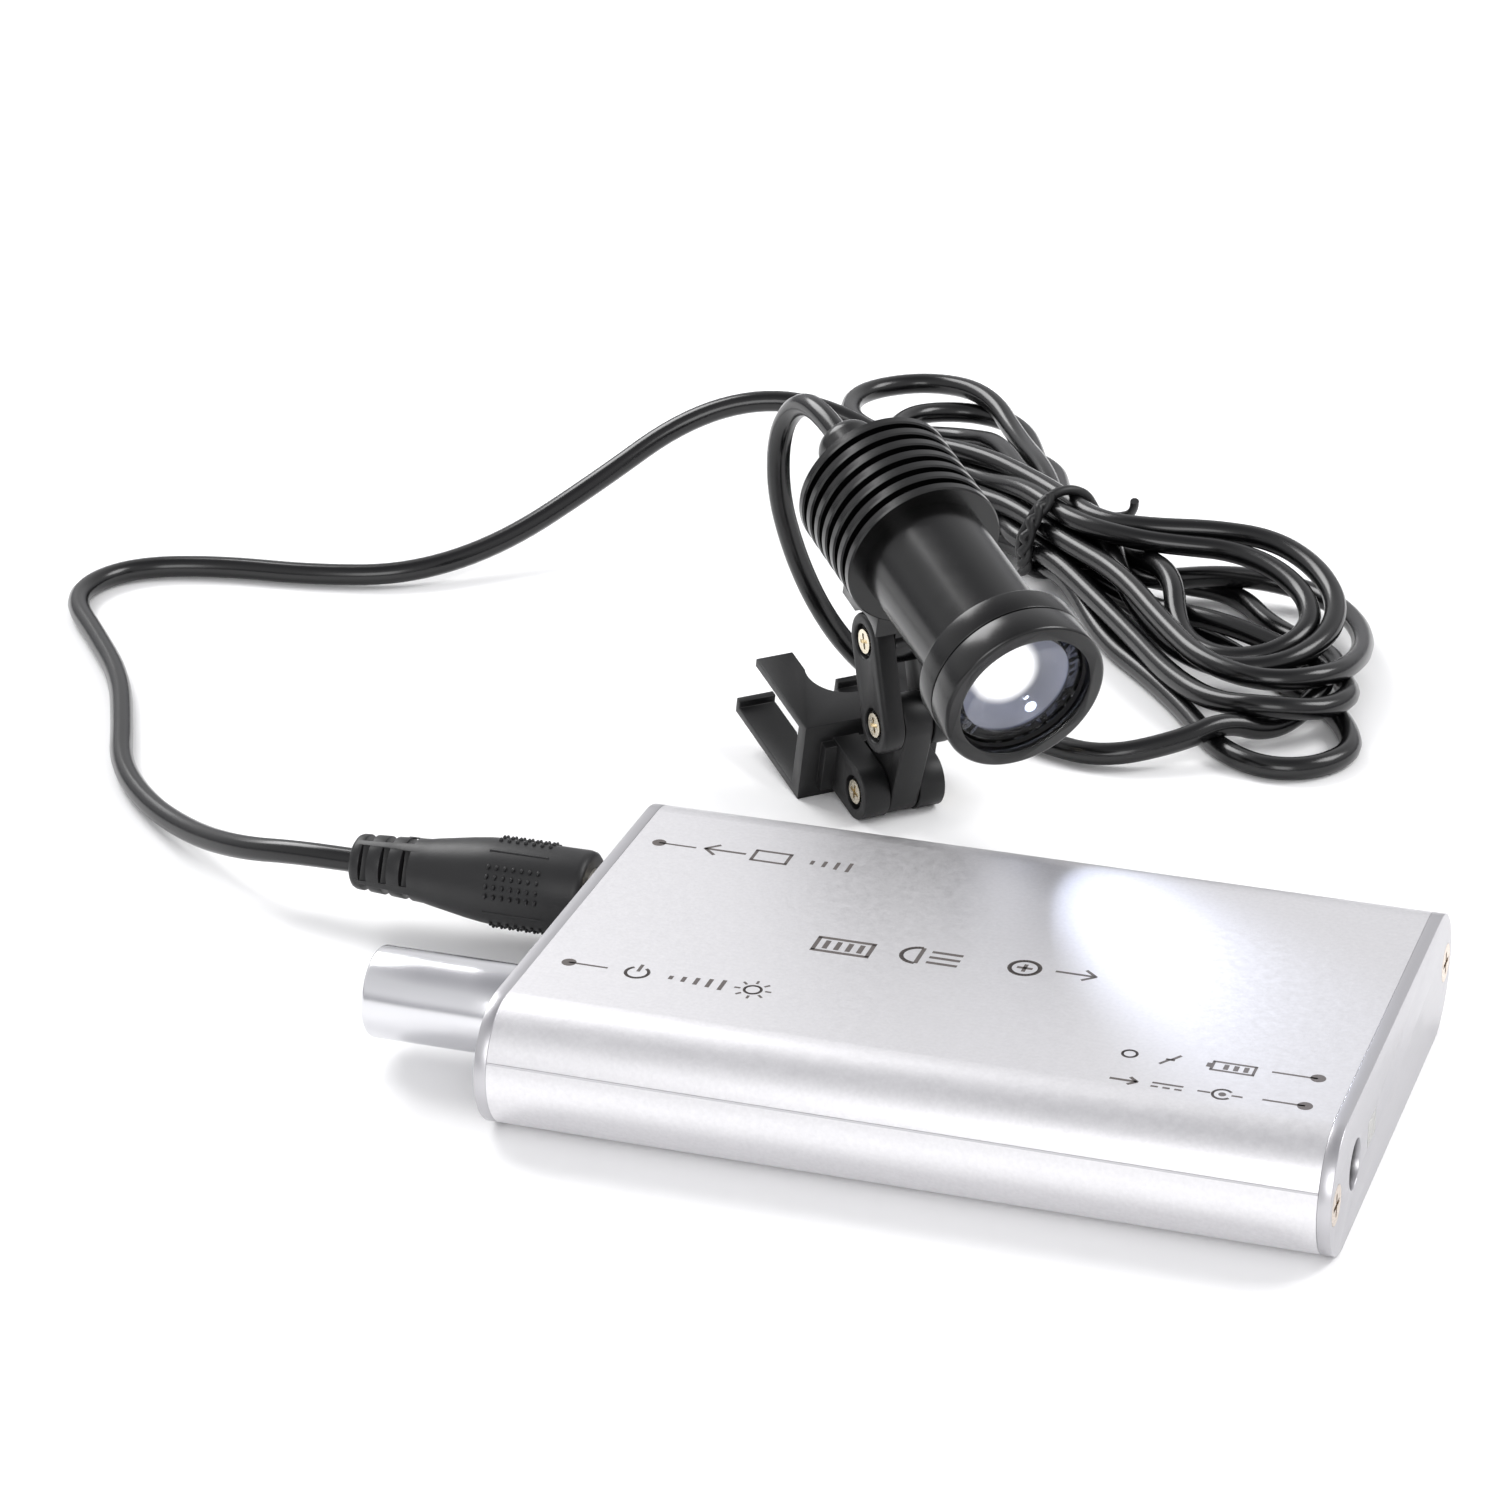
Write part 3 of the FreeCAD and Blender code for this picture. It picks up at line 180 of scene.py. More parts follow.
def material(name, colour, roughness, metallic=0.0, **sockets):
    """New Principled material and its tree and shader."""
    made = bpy.data.materials.new(name)
    made.use_nodes = True
    tree = made.node_tree
    shader = tree.nodes["Principled BSDF"]
    shader.inputs["Base Color"].default_value = (*rgb(colour), 1)
    shader.inputs["Roughness"].default_value = roughness
    shader.inputs["Metallic"].default_value = metallic
    for key, value in sockets.items():
        shader.inputs[key.replace("_", " ")].default_value = value
    return made, tree, shader


def bump(tree, shader, height, strength, distance):
    """Relief from a height pattern, distance in metres."""
    relief = node(tree, "ShaderNodeBump", {"Height": height}, Strength=strength, Distance=distance)
    tree.links.new(relief.outputs["Normal"], shader.inputs["Normal"])


def vary(tree, shader, factor, socket, low, high):
    """Drive a number socket between two values by a factor from 0 to 1."""
    span = node(tree, "ShaderNodeMapRange", {0: factor})
    span.inputs[3].default_value = low
    span.inputs[4].default_value = high
    tree.links.new(span.outputs[0], shader.inputs[socket])


def tint(tree, shader, factor, dark, light):
    """Drive the base colour between two hex colours by a factor from 0 to 1."""
    mix = node(tree, "ShaderNodeMix", {0: factor}, data_type="RGBA")
    mix.inputs[6].default_value = (*rgb(dark), 1)
    mix.inputs[7].default_value = (*rgb(light), 1)
    tree.links.new(mix.outputs[2], shader.inputs["Base Color"])


def noise(tree, size_mm, detail=2.0, stretch=None):
    """Noise in object space whose features are about size_mm across."""
    place = node(tree, "ShaderNodeTexCoord").outputs["Object"]
    if stretch:
        place = node(tree, "ShaderNodeMapping", {"Vector": place}, Scale=stretch).outputs[0]
    grain = node(tree, "ShaderNodeTexNoise", {"Vector": place}, Scale=1 / (size_mm * MM),
                 Detail=detail)
    return grain.outputs[0]


# ---- materials

def blasted_aluminium():
    """Bead-blasted, clear-anodised aluminium: soft grey with a fine even sparkle."""
    made, tree, shader = material("blasted_clear_anodised_aluminium", "#EBEAEC", 0.40, 1.0)
    grit = noise(tree, 0.35, 3)
    bump(tree, shader, grit, 0.25, 0.00004)
    vary(tree, shader, noise(tree, 1.1, 2), "Roughness", 0.36, 0.47)
    tint(tree, shader, noise(tree, 0.5, 2), "#DAD9DB", "#E9E8EA")
    return made


def brushed_end():
    """Stamped and fine-brushed aluminium end plate, a shade darker than the case."""
    made, tree, shader = material("fine_brushed_aluminium_plate", "#BEBDC0", 0.36, 1.0)
    lines = noise(tree, 0.5, 3, (1, 0.12, 4))
    bump(tree, shader, lines, 0.18, 0.00003)
    vary(tree, shader, lines, "Roughness", 0.3, 0.42)
    return made


def polished_aluminium():
    """Turned and polished aluminium knob: near mirror with faint turning lines."""
    made, tree, shader = material("polished_turned_aluminium", "#DCDCDF", 0.2, 1.0)
    rings = noise(tree, 0.6, 2, (6, 0.3, 0.3))
    bump(tree, shader, rings, 0.12, 0.00002)
    vary(tree, shader, rings, "Roughness", 0.17, 0.25)
    return made


def black_anodised():
    """Turned aluminium dyed black and anodised: deep satin black with turning lines."""
    made, tree, shader = material("black_anodised_turned_aluminium", "#050505", 0.24, 0.0,
                                  Specular_IOR_Level=0.5)
    fine = noise(tree, 0.25, 3)
    bump(tree, shader, fine, 0.10, 0.00002)
    vary(tree, shader, noise(tree, 2.0, 3), "Roughness", 0.20, 0.29)
    return made


def moulded_black():
    """Injection-moulded black nylon: matte with a fine spark-eroded grain."""
    made, tree, shader = material("moulded_black_nylon", "#0C0C0D", 0.42, 0.0,
                                  Specular_IOR_Level=0.35)
    grain = noise(tree, 0.22, 3)
    bump(tree, shader, grain, 0.22, 0.00003)
    vary(tree, shader, noise(tree, 3.0, 3), "Roughness", 0.38, 0.52)
    return made


def cord_pvc():
    """Extruded flexible PVC: smooth black with a soft gloss and faint handling dullness."""
    made, tree, shader = material("extruded_black_pvc", "#080809", 0.24, 0.0,
                                  Specular_IOR_Level=0.5)
    vary(tree, shader, noise(tree, 9.0, 3), "Roughness", 0.17, 0.27)
    bump(tree, shader, noise(tree, 2.5, 1), 0.04, 0.00002)
    return made


def plug_pvc():
    """Overmoulded PVC plug: satin black with a fine mould grain."""
    made, tree, shader = material("overmoulded_black_pvc", "#161617", 0.42, 0.0,
                                  Specular_IOR_Level=0.45)
    grain = noise(tree, 0.3, 3)
    bump(tree, shader, grain, 0.25, 0.00004)
    vary(tree, shader, noise(tree, 2.5, 2), "Roughness", 0.36, 0.5)
    return made


def nickel_plate():
    """Bright nickel plate on a turned brass nut and socket."""
    made, tree, shader = material("bright_nickel_plate", "#E9E4DA", 0.3, 0.85)
    vary(tree, shader, noise(tree, 1.0, 2), "Roughness", 0.26, 0.36)
    return made


def brass_screw():
    """Small pressed brass screw: warm, slightly uneven shine."""
    made, tree, shader = material("pressed_pale_brass", "#DDD3BF", 0.25, 1.0)
    tint(tree, shader, noise(tree, 0.6, 3), "#C2B497", "#F2ECDD")
    vary(tree, shader, noise(tree, 0.4, 3), "Roughness", 0.18, 0.38)
    bump(tree, shader, noise(tree, 0.3, 3), 0.3, 0.00004)
    return made


def steel_screw():
    """Zinc-bright steel screw."""
    made, tree, shader = material("bright_zinc_steel", "#D3C4B4", 0.28, 1.0)
    vary(tree, shader, noise(tree, 0.5, 2), "Roughness", 0.2, 0.36)
    return made


def lens_glass():
    """Polished optical glass of the domed lens."""
    return material("polished_optical_glass", "#FFFFFF", 0.0, 0.0,
                    Transmission_Weight=1.0, IOR=1.49)[0]


def plain(name, colour, roughness, metallic=0.0, grain_mm=0.8, spread=0.08, **sockets):
    """Simple finish of a small or hidden part, with slight variation in its gloss."""
    made, tree, shader = material(name, colour, roughness, metallic, **sockets)
    vary(tree, shader, noise(tree, grain_mm, 2), "Roughness",
         roughness - spread, roughness + spread)
    return made


def lit_phosphor():
    """Phosphor of the light source, which glows blue-white when it is lit."""
    return material("lit_led_phosphor", "#F2F6FF", 0.4, 0.0,
                    Emission_Color=(*rgb("#DCE8FF"), 1), Emission_Strength=60.0)[0]


def printed_ink():
    """Dark grey pad-printing ink, slightly raised and matte."""
    made, tree, shader = material("pad_printed_grey_ink", "#55504E", 0.55, 0.0)
    tint(tree, shader, noise(tree, 0.25, 2), "#48423F", "#5E5856")
    return made


def floor_sheet():
    """White paper sweep: matte, with a very faint unevenness."""
    made, tree, shader = material("white_sweep_paper", "#FFFFFF", 0.6, 0.0)
    tint(tree, shader, noise(tree, 60.0, 1), "#FBFBFB", "#FFFFFF")
    return made


# key: (material function, CAD nodes that wear it)
FINISHES = {
    "ink": (printed_ink, []),
    "blasted": (blasted_aluminium, ["case_top_shell", "case_bottom_shell"]),
    "brushed": (brushed_end, ["output_end_plate", "input_end_plate"]),
    "polished": (polished_aluminium, ["dimmer_knob"]),
    "anodised": (black_anodised, ["lens_ring", "bezel_ring", "lamp_barrel", "heat_sink",
                                  "hinge_saddle", "cable_gland"]),
    "nylon": (moulded_black, ["upper_link_near", "upper_link_far", "lower_link", "clip",
                              "dimmer_body"]),
    "cord": (cord_pvc, ["cord_supply", "cord_lamp", "cord_hank", "twist_tie"]),
    "plug": (plug_pvc, ["plug_body"]),
    "nickel": (nickel_plate, ["output_jack", "output_jack_nut", "dimmer_nut", "plug_barrel",
                              "charge_jack_pin"]),
    "brass": (brass_screw, ["upper_hinge_screw", "middle_hinge_screw", "lower_hinge_screw",
                            "upper_hinge_nut", "middle_hinge_nut", "lower_hinge_nut",
                            "dimmer_shaft"]),
    "steel": (steel_screw, ["output_end_screws", "input_end_screws"]),
    "glass": (lens_glass, ["lens", "led_dome"]),
    "phosphor": (lit_phosphor, ["led_package"]),
    "board": (lambda: plain("green_solder_mask", "#1B5A33", 0.4), ["circuit_board"]),
    "wrap": (lambda: plain("blue_heat_shrink", "#2F67A8", 0.35), ["battery_cell"]),
    "foam": (lambda: plain("black_sponge_rubber", "#1A1A1B", 0.85), ["cell_pad", "lens_gasket"]),
    "posts": (lambda: plain("natural_nylon", "#E4E2DA", 0.5), ["board_posts", "led_retainer"]),
    "chips": (lambda: plain("black_moulded_epoxy", "#141415", 0.5),
              ["charge_chip", "charge_jack", "driver_coil"]),
    "window": (lambda: plain("clear_polycarbonate", "#DDDCD6", 0.2, Transmission_Weight=0.6),
               ["charge_window"]),
    "diode": (lambda: plain("white_diode_lens", "#EFEDE2", 0.35), ["charge_led"]),
    "core_board": (lambda: plain("white_mask_on_aluminium", "#EDEDEA", 0.4), ["led_board"]),
    "leads": (lambda: plain("red_lead_insulation", "#A01815", 0.4), ["led_leads"]),
}
MADE = {}


def dress_nodes():
    """Make every material once and put it on its CAD nodes."""
    for key, (maker, names) in FINISHES.items():
        MADE[key] = maker()
        for name in names:
            mesh = NODES[name].data
            mesh.materials.clear()
            mesh.materials.append(MADE[key])


# ---- piece helpers

def select_only(*objects):
    """Select these objects and nothing else, and make the first one active."""
    for item in bpy.context.selected_objects:
        item.select_set(False)
    for item in objects:
        item.select_set(True)
    bpy.context.view_layer.objects.active = objects[0]


def settle_transform(item):
    """Put an object's place into its mesh, so that its origin is the frame's."""
    select_only(item)
    bpy.ops.object.transform_apply(location=True, rotation=True, scale=True)


def finish_piece(item, name, finish, body=ROOT_BODY, replaced=()):
    """Name a piece, give it its material and body, and hide the nodes it replaces."""
    item.name = name
    item.data.name = name
    item.data.materials.clear()
    item.data.materials.append(MADE[finish])
    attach(item, body)
    if replaced:
        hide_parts(*replaced)
    return item


def smooth(item, degrees=35):
    """Shade smooth, with edges sharper than this angle kept."""
    select_only(item)
    bpy.ops.object.shade_smooth_by_angle(angle=math.radians(degrees))


def round_edges(item, width_mm, sharp, segments=2):
    """Bevel every edge of a piece that is sharper than an angle."""
    select_only(item)
    bevel = item.modifiers.new("rounded", "BEVEL")
    bevel.width = width_mm * MM
    bevel.segments = segments
    bevel.limit_method = "ANGLE"
    bevel.angle_limit = sharp
    bpy.ops.object.modifier_apply(modifier="rounded")


def round_line(name, points, radius, order, rings, steps=12, closed=False):
    """Round bar on one smooth spline along its points."""
    curve = bpy.data.curves.new(name, "CURVE")
    curve.dimensions = "3D"
    spline = curve.splines.new("NURBS")
    spline.points.add(len(points) - 1)
    for place, point in zip(spline.points, points):
        place.co = (*point, 1)
    spline.order_u = order
    spline.use_cyclic_u = closed
    spline.use_endpoint_u = not closed
    curve.resolution_u = steps
    spline.resolution_u = steps
    curve.bevel_depth = radius
    curve.bevel_resolution = rings
    curve.use_fill_caps = True
    item = bpy.data.objects.new(name, curve)
    bpy.context.scene.collection.objects.link(item)
    return item


def joined(items):
    """Join objects into one and return it."""
    select_only(*items)
    if len(items) > 1:
        bpy.ops.object.join()
    return bpy.context.active_object


# ---- the cord

CORD_STEPS = 8          # mesh steps between two route points
PLUG_DEPTH = 4.0        # the cord ends this far inside the plug, in millimetres

# How the hank settles. Lengths are in metres and shares are per round.
SETTLE_ROUNDS = 260
SAMPLES_PER_STEP = 3
NEIGHBOUR_STEPS = 4     # samples this many steps apart or less never push each other
SPACING = 1.02          # distance kept between turns, in cord diameters
PUSH_SHARE = 0.5
STRETCH_SHARE = 0.15
FOLD_SHARE = 0.6
RETURN_SHARE = 0.004
TIGHTEST_FOLD = 0.0082
TIP_SHARE = 0.2
LEG_SHARE = 0.25
PINNED_WAIST = 0.0105   # points this near to the waist's middle stay where they are
TINY = 1e-9


def strand_point(number, along):
    """Place of a strand in the waist, at a distance along the waist's run."""
    across, up = STRANDS[number]
    sideways = Vector((-WAIST_RUN.y, WAIST_RUN.x, 0))
    return WAIST + WAIST_RUN * along + sideways * across * MM + Vector((0, 0, up * MM))


def cord_points():
    """Whole route from the lamp's gland through the hank to the plug's tail."""
    inside_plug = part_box("plug_body")[0].x + PLUG_DEPTH * MM
    points = [Vector((inside_plug, *PLUG_TAIL[1:])), Vector(PLUG_TAIL)]
    points += [Vector(p) for p in SUPPLY_ROUTE]
    for number in range(len(STRANDS)):
        rightward = number % 2 == 0
        sign = 1 if rightward else -1
        points += [strand_point(number, sign * step * WAIST_REACH) for step in (-1, 0, 1)]
        if rightward:
            points += [Vector(p) * MM for p in RIGHT_TURNS[number // 2]]
        else:
            points += lobe_turn(*LEFT_TURNS[number // 2])
    points += [Vector(p) for p in LAMP_ROUTE] + [Vector(GLAND_EXIT)]
    return points[::-1]


class CordSettings(bpy.types.PropertyGroup):
    diameter: bpy.props.FloatProperty(
        name="Cord diameter", description="Diameter of the round cord",
        default=0.003, unit="LENGTH")


class HEADLIGHT_OT_cord(bpy.types.Operator):
    """One cord from the lamp, through its tied hank, to the plug"""
    bl_idname = "headlight.cord"
    bl_label = "Cord"

    def execute(self, context):
        settings = context.scene.headlight_cord
        points = settle_cord(cord_points(), settings.diameter)
        item = round_line("cord", points, settings.diameter / 2, order=3, rings=4,
                          steps=CORD_STEPS)
        finish_piece(item, "cord", "cord",
                     replaced=("cord_supply", "cord_lamp", "cord_hank"))
        return {"FINISHED"}


def spline_weights(count):
    """Share of each control point in each sample of a uniform quadratic spline."""
    rows = []
    for start in range(count - 2):
        for step in range(SAMPLES_PER_STEP):
            t = step / SAMPLES_PER_STEP
            row = np.zeros(count)
            row[start:start + 3] = (0.5 * (1 - t) ** 2, 0.5 * (1 + 2 * t - 2 * t * t),
                                    0.5 * t * t)
            rows.append(row)
    return np.array(rows)


def ease_folds(place):
    """Moves that open every corner tighter than the tightest fold.

    With legs of this length, the chord across a corner is at least as long as on the
    tightest fold. The tip moves inward and its two neighbours outward until it is."""
    move = np.zeros_like(place)
    before, tip, after = place[:-2], place[1:-1], place[2:]
    chord = after - before
    reach = np.linalg.norm(chord, axis=1)
    legs = (np.linalg.norm(tip - before, axis=1) + np.linalg.norm(after - tip, axis=1)) / 2
    slack = legs / 2 / TIGHTEST_FOLD
    half = np.arcsin((np.sqrt(1 + 4 * slack * slack) - 1) / (2 * slack))
    least = 2 * legs * np.cos(half)
    short = np.maximum(least - reach, 0)
    inward = (before + after) / 2 - tip
    inward /= np.linalg.norm(inward, axis=1, keepdims=True) + TINY
    outward = chord / (reach[:, None] + TINY) * (short * LEG_SHARE)[:, None]
    move[1:-1] += inward * (short * TIP_SHARE)[:, None]
    move[:-2] -= outward
    move[2:] += outward
    return move


def settle_cord(points, diameter):
    """Let the hank's turns open their folds, push each other apart and rest on the floor.

    The waist and the free runs stay where they are."""
    place = np.array([tuple(p) for p in points])
    first = place.copy()
    lengths = np.linalg.norm(np.diff(place, axis=0), axis=1)
    count = len(place)
    weights = spline_weights(count)
    share = (weights / weights.sum(0).clip(1e-6)).T
    loose = np.ones(count, bool)
    loose[:len(LAMP_ROUTE) - 1] = False
    loose[-len(SUPPLY_ROUTE) - 1:] = False
    loose[np.linalg.norm(place - np.array(WAIST), axis=1) < PINNED_WAIST] = False
    order = np.arange(len(weights))
    others = np.abs(order[:, None] - order[None, :]) > NEIGHBOUR_STEPS * SAMPLES_PER_STEP
    spacing = diameter * SPACING
    for _ in range(SETTLE_ROUNDS):
        line = weights @ place
        gap = line[:, None, :] - line[None, :, :]
        reach = np.sqrt((gap ** 2).sum(2)) + TINY
        short = np.where(others & (reach < spacing), spacing - reach, 0.0)
        push = (gap / reach[..., None] * short[..., None] * PUSH_SHARE).sum(1)
        run = np.diff(place, axis=0)
        now = np.linalg.norm(run, axis=1)
        stretch = run * ((now - lengths) / now * STRETCH_SHARE)[:, None]
        move = share @ push + FOLD_SHARE * ease_folds(place) + RETURN_SHARE * (first - place)
        move[:-1] += stretch
        move[1:] -= stretch
        place[loose] += move[loose]
        place[:, 2] = np.maximum(place[:, 2], diameter / 2)
    return [Vector(p) for p in place]


# ---- softened copies of CAD parts

SOFTENED = {
    # node: (bevel in mm, finish, slot, body)
    "clip": (0.28, "nylon", "link_black", "clip"),
    "upper_link_near": (0.22, "nylon", "link_black", "upper_links"),
    "upper_link_far": (0.22, "nylon", "link_black", "upper_links"),
    "lower_link": (0.25, "nylon", "link_black", "lower_link"),
    "hinge_saddle": (0.22, "anodised", "lamp_black", ROOT_BODY),
    "bezel_ring": (0.12, "anodised", "lamp_black", ROOT_BODY),
    "lens_ring": (0.15, "anodised", "lamp_black", ROOT_BODY),
    "input_end_plate": (0.12, "brushed", "case_aluminium", ROOT_BODY),
    "output_end_plate": (0.12, "brushed", "case_aluminium", ROOT_BODY),
}
SHARP_EDGE = math.radians(30)
FLAT_WITHIN = math.radians(0.5)
SAME_POINT = 0.002 * MM


def soften(name, width_mm, finish, slot_name, body):
    """Copy a machined or moulded part and round its sharp edges as tumbling would."""
    mesh = NODES[name].data.copy()
    item = bpy.data.objects.new(name + "_finished", mesh)
    bpy.context.scene.collection.objects.link(item)
    select_only(item)
    bpy.ops.object.mode_set(mode="EDIT")
    bpy.ops.mesh.select_all(action="SELECT")
    bpy.ops.mesh.remove_doubles(threshold=SAME_POINT)
    bpy.ops.mesh.dissolve_limited(angle_limit=FLAT_WITHIN)
    bpy.ops.object.mode_set(mode="OBJECT")
    round_edges(item, width_mm, SHARP_EDGE)
    smooth(item, 40)
    finish_piece(item, name + "_finished", finish, body, replaced=(name,))


class HEADLIGHT_OT_edges(bpy.types.Operator):
    """Parts with their edges rounded"""
    bl_idname = "headlight.edges"
    bl_label = "Rounded parts"

    def execute(self, context):
        for name, values in SOFTENED.items():
            soften(name, *values)
        return {"FINISHED"}


# ---- plug

def lathe(stations, sides=64):
    """Closed turned form about X from (station, radius) pairs, running from low X to high X."""
    first_x, first_r = stations[0]
    bpy.ops.mesh.primitive_circle_add(vertices=sides, radius=first_r * MM, fill_type="NGON",
                                      location=(first_x * MM, 0, 0),
                                      rotation=(0, math.pi / 2, 0))
    item = bpy.context.active_object
    settle_transform(item)
    bpy.ops.object.mode_set(mode="EDIT")
    bpy.ops.mesh.select_all(action="SELECT")
    last_x, last_r = first_x, first_r
    for x, r in stations[1:]:
        bpy.ops.mesh.extrude_region_move(
            TRANSFORM_OT_translate={"value": ((x - last_x) * MM, 0, 0)})
        ratio = r / last_r
        bpy.ops.transform.resize(value=(1, ratio, ratio), center_override=(x * MM, 0, 0))
        last_x, last_r = x, r
    bpy.ops.mesh.select_all(action="SELECT")
    bpy.ops.mesh.normals_make_consistent(inside=False)
    bpy.ops.object.mode_set(mode="OBJECT")
    return item


# The plug's own axis, (y, z) in millimetres, and its sizes in millimetres.
PLUG_AXIS = (15.5, 7.75)
PLUG_RADIUS = 5.25
PLUG_ROLL = math.radians(-25)
PLUG_EDGE = 0.1
PLUG_SHARP_EDGE = math.radians(50)
GRIP_START = 5.4        # from the front to the first dots
GRIP_RADIUS = 5.22      # the dots' middles
DOT_GROUPS = 4
DOT_ROWS = 4
DOT_COLUMNS = 7
DOT_PITCH = 1.05
DOT_RADIUS = 0.5
DOT_SHAPE = (0.5, 0.75, 0.85)
ROW_ANGLE = math.radians(13)
RIB_RADIUS = 0.14
RIB_LENGTH = 7.4
MARK_RING = (0.8, 0.08)         # radius of the ring and of its bead
MARK_PLACE = (6.9, 0.6, 3.7)    # from the tail on the plug's axis


def plug_ends():
    """Stations of the plug's tail and front."""
    low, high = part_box("plug_body")
    return low.x / MM, high.x / MM


def plug_profile():
    """(station, radius) pairs of the moulded plug from its tail to its front."""
    tail, front = plug_ends()
    length = front - tail
    profile = [(0.0, 2.9), (0.2, 3.2), (0.6, 3.38), (5.0, 3.62), (9.2, 3.9)]
    profile += [(10.2, 4.1), (12.0, 4.4), (14.6, 4.85), (16.8, 5.14), (18.6, PLUG_RADIUS),
                (length - 1.0, PLUG_RADIUS), (length - 0.35, 5.1), (length - 0.08, 4.8),
                (length, 4.4)]
    return [(tail + x, r) for x, r in profile]


SLOT_STATIONS = (1.9, 4.6, 7.3)
SLOT_SIZE = (1.0, 4.3, 3.8)
SLOT_RADIUS = 4.2


def plug_slots():
    """Boxes that cut the strain-relief slots into the tail from four sides."""
    tail, _ = plug_ends()
    cutters = []
    for station in SLOT_STATIONS:
        for quarter in range(4):
            bpy.ops.mesh.primitive_cube_add(size=1)
            box = bpy.context.active_object
            box.scale = [side * MM for side in SLOT_SIZE]
            box.location = (0, 0, SLOT_RADIUS * MM)
            settle_transform(box)
            box.rotation_euler = (math.radians(90 * quarter), 0, 0)
            box.location = ((tail + station) * MM, 0, 0)
            settle_transform(box)
            cutters.append(box)
    return joined(cutters)


def on_grip(x, angle):
    """Place on the grip's round, at a station and an angle from the plug's top."""
    return (x * MM, -math.sin(angle) * GRIP_RADIUS * MM, math.cos(angle) * GRIP_RADIUS * MM)


def plug_grip():
    """Rows of small raised dots in four groups round the plug, with a fine rib between them."""
    details = []
    begin = plug_ends()[1] - GRIP_START
    for group in range(DOT_GROUPS):
        middle = 2 * math.pi * group / DOT_GROUPS
        for row in range(DOT_ROWS):
            angle = middle + (row - (DOT_ROWS - 1) / 2) * ROW_ANGLE
            for column in range(DOT_COLUMNS):
                bpy.ops.mesh.primitive_uv_sphere_add(segments=8, ring_count=5,
                                                     radius=DOT_RADIUS * MM)
                bead = bpy.context.active_object
                bead.scale = DOT_SHAPE
                bead.rotation_euler = (angle, 0, 0)
                bead.location = on_grip(begin - column * DOT_PITCH, angle)
                details.append(bead)
        bpy.ops.mesh.primitive_cylinder_add(vertices=10, radius=RIB_RADIUS * MM,
                                            depth=RIB_LENGTH * MM,
                                            rotation=(0, math.pi / 2, 0))
        rib = bpy.context.active_object
        settle_transform(rib)
        rib.location = on_grip(begin - (DOT_COLUMNS - 1) / 2 * DOT_PITCH,
                               middle + math.pi / DOT_GROUPS)
        details.append(rib)
    return joined(details)


def plug_mark():
    """Small raised ring that the mould leaves near the tail."""
    along, across, up = MARK_PLACE
    bpy.ops.mesh.primitive_torus_add(
        major_segments=24, minor_segments=6,
        major_radius=MARK_RING[0] * MM, minor_radius=MARK_RING[1] * MM,
        location=((plug_ends()[0] + along) * MM, across * MM, up * MM))
    return bpy.context.active_object


# The knob's own axis, (y, z), and its (station, radius) pairs in millimetres.
KNOB_AXIS = (-15.0, 7.75)
KNOB_PROFILE = [(-66.5, 4.85), (-66.42, 5.1), (-66.25, 5.27), (-66.0, 5.35), (-60.0, 5.35),
                (-54.0, 5.35), (-48.75, 5.35), (-48.58, 5.27), (-48.5, 5.1), (-48.49, 4.62),
                (-49.9, 4.5)]


class HEADLIGHT_OT_knob(bpy.types.Operator):
    """Polished turned knob with rounded rims and a recess that clears the nut"""
    bl_idname = "headlight.knob"
    bl_label = "Knob"

    def execute(self, context):
        select_only(NODES["dimmer_knob"])
        knob = lathe(KNOB_PROFILE, 96)
        knob.location = (0, KNOB_AXIS[0] * MM, KNOB_AXIS[1] * MM)
        settle_transform(knob)
        smooth(knob, 35)
        finish_piece(knob, "turned_knob", "polished", "dimmer_knob",
                     replaced=("dimmer_knob",))
        return {"FINISHED"}


class HEADLIGHT_OT_plug(bpy.types.Operator):
    """Moulded plug with slots, grip dots and mould mark"""
    bl_idname = "headlight.plug"
    bl_label = "Plug"

    def execute(self, context):
        select_only(NODES["plug_body"])
        body = lathe(plug_profile())
        cutter = plug_slots()
        select_only(body)
        cut = body.modifiers.new("slots", "BOOLEAN")
        cut.operation = "DIFFERENCE"
        cut.object = cutter
        cut.solver = "EXACT"
        bpy.ops.object.modifier_apply(modifier="slots")
        bpy.data.objects.remove(cutter)
        round_edges(body, PLUG_EDGE, PLUG_SHARP_EDGE)
        plug = joined([body, plug_grip(), plug_mark()])
        plug.rotation_euler = (PLUG_ROLL, 0, 0)
        plug.location = (0, PLUG_AXIS[0] * MM, PLUG_AXIS[1] * MM)
        settle_transform(plug)
        smooth(plug, 40)
        finish_piece(plug, "moulded_plug", "plug", replaced=("plug_body",))
        return {"FINISHED"}


# ---- lens axes and the reflector bowl, with its painted glow, highlight and glint

BEAM = Vector((0.656, -0.696, -0.292)).normalized()
LENS_FRONT = Vector((-5.27, 39.01, 29.68)) * MM
# The bowl steps inward by each of these widths and sinks by BOWL_STEP_SINK at each.
BOWL_DEPTH = 3.9
BOWL_RADIUS = 8.2
BOWL_STEPS = (1.2, 2.4)
BOWL_STEP_SINK = 0.3
BOWL_SINK = BOWL_STEP_SINK * len(BOWL_STEPS)
BOWL_WALL = 0.25
# The two painted spots of light on the bowl's floor, a painted highlight and a painted glint:
# (right, up) from its middle, reach, the share of the reach that is fully bright, and the emitted
# colour.
PAINTED_SHEEN = ((-0.9, 0.9), 4.3, 0.62, (1.5, 1.5, 1.52, 1))
PAINTED_GLINT = ((2.6, -4.0), 0.75, 0.4, (5.0, 5.6, 7.0, 1))


def lens_axes():
    """Sideways and upward directions of the lens plane."""
    side = BEAM.cross(Vector((0, 0, 1))).normalized()
    return side, side.cross(BEAM).normalized()


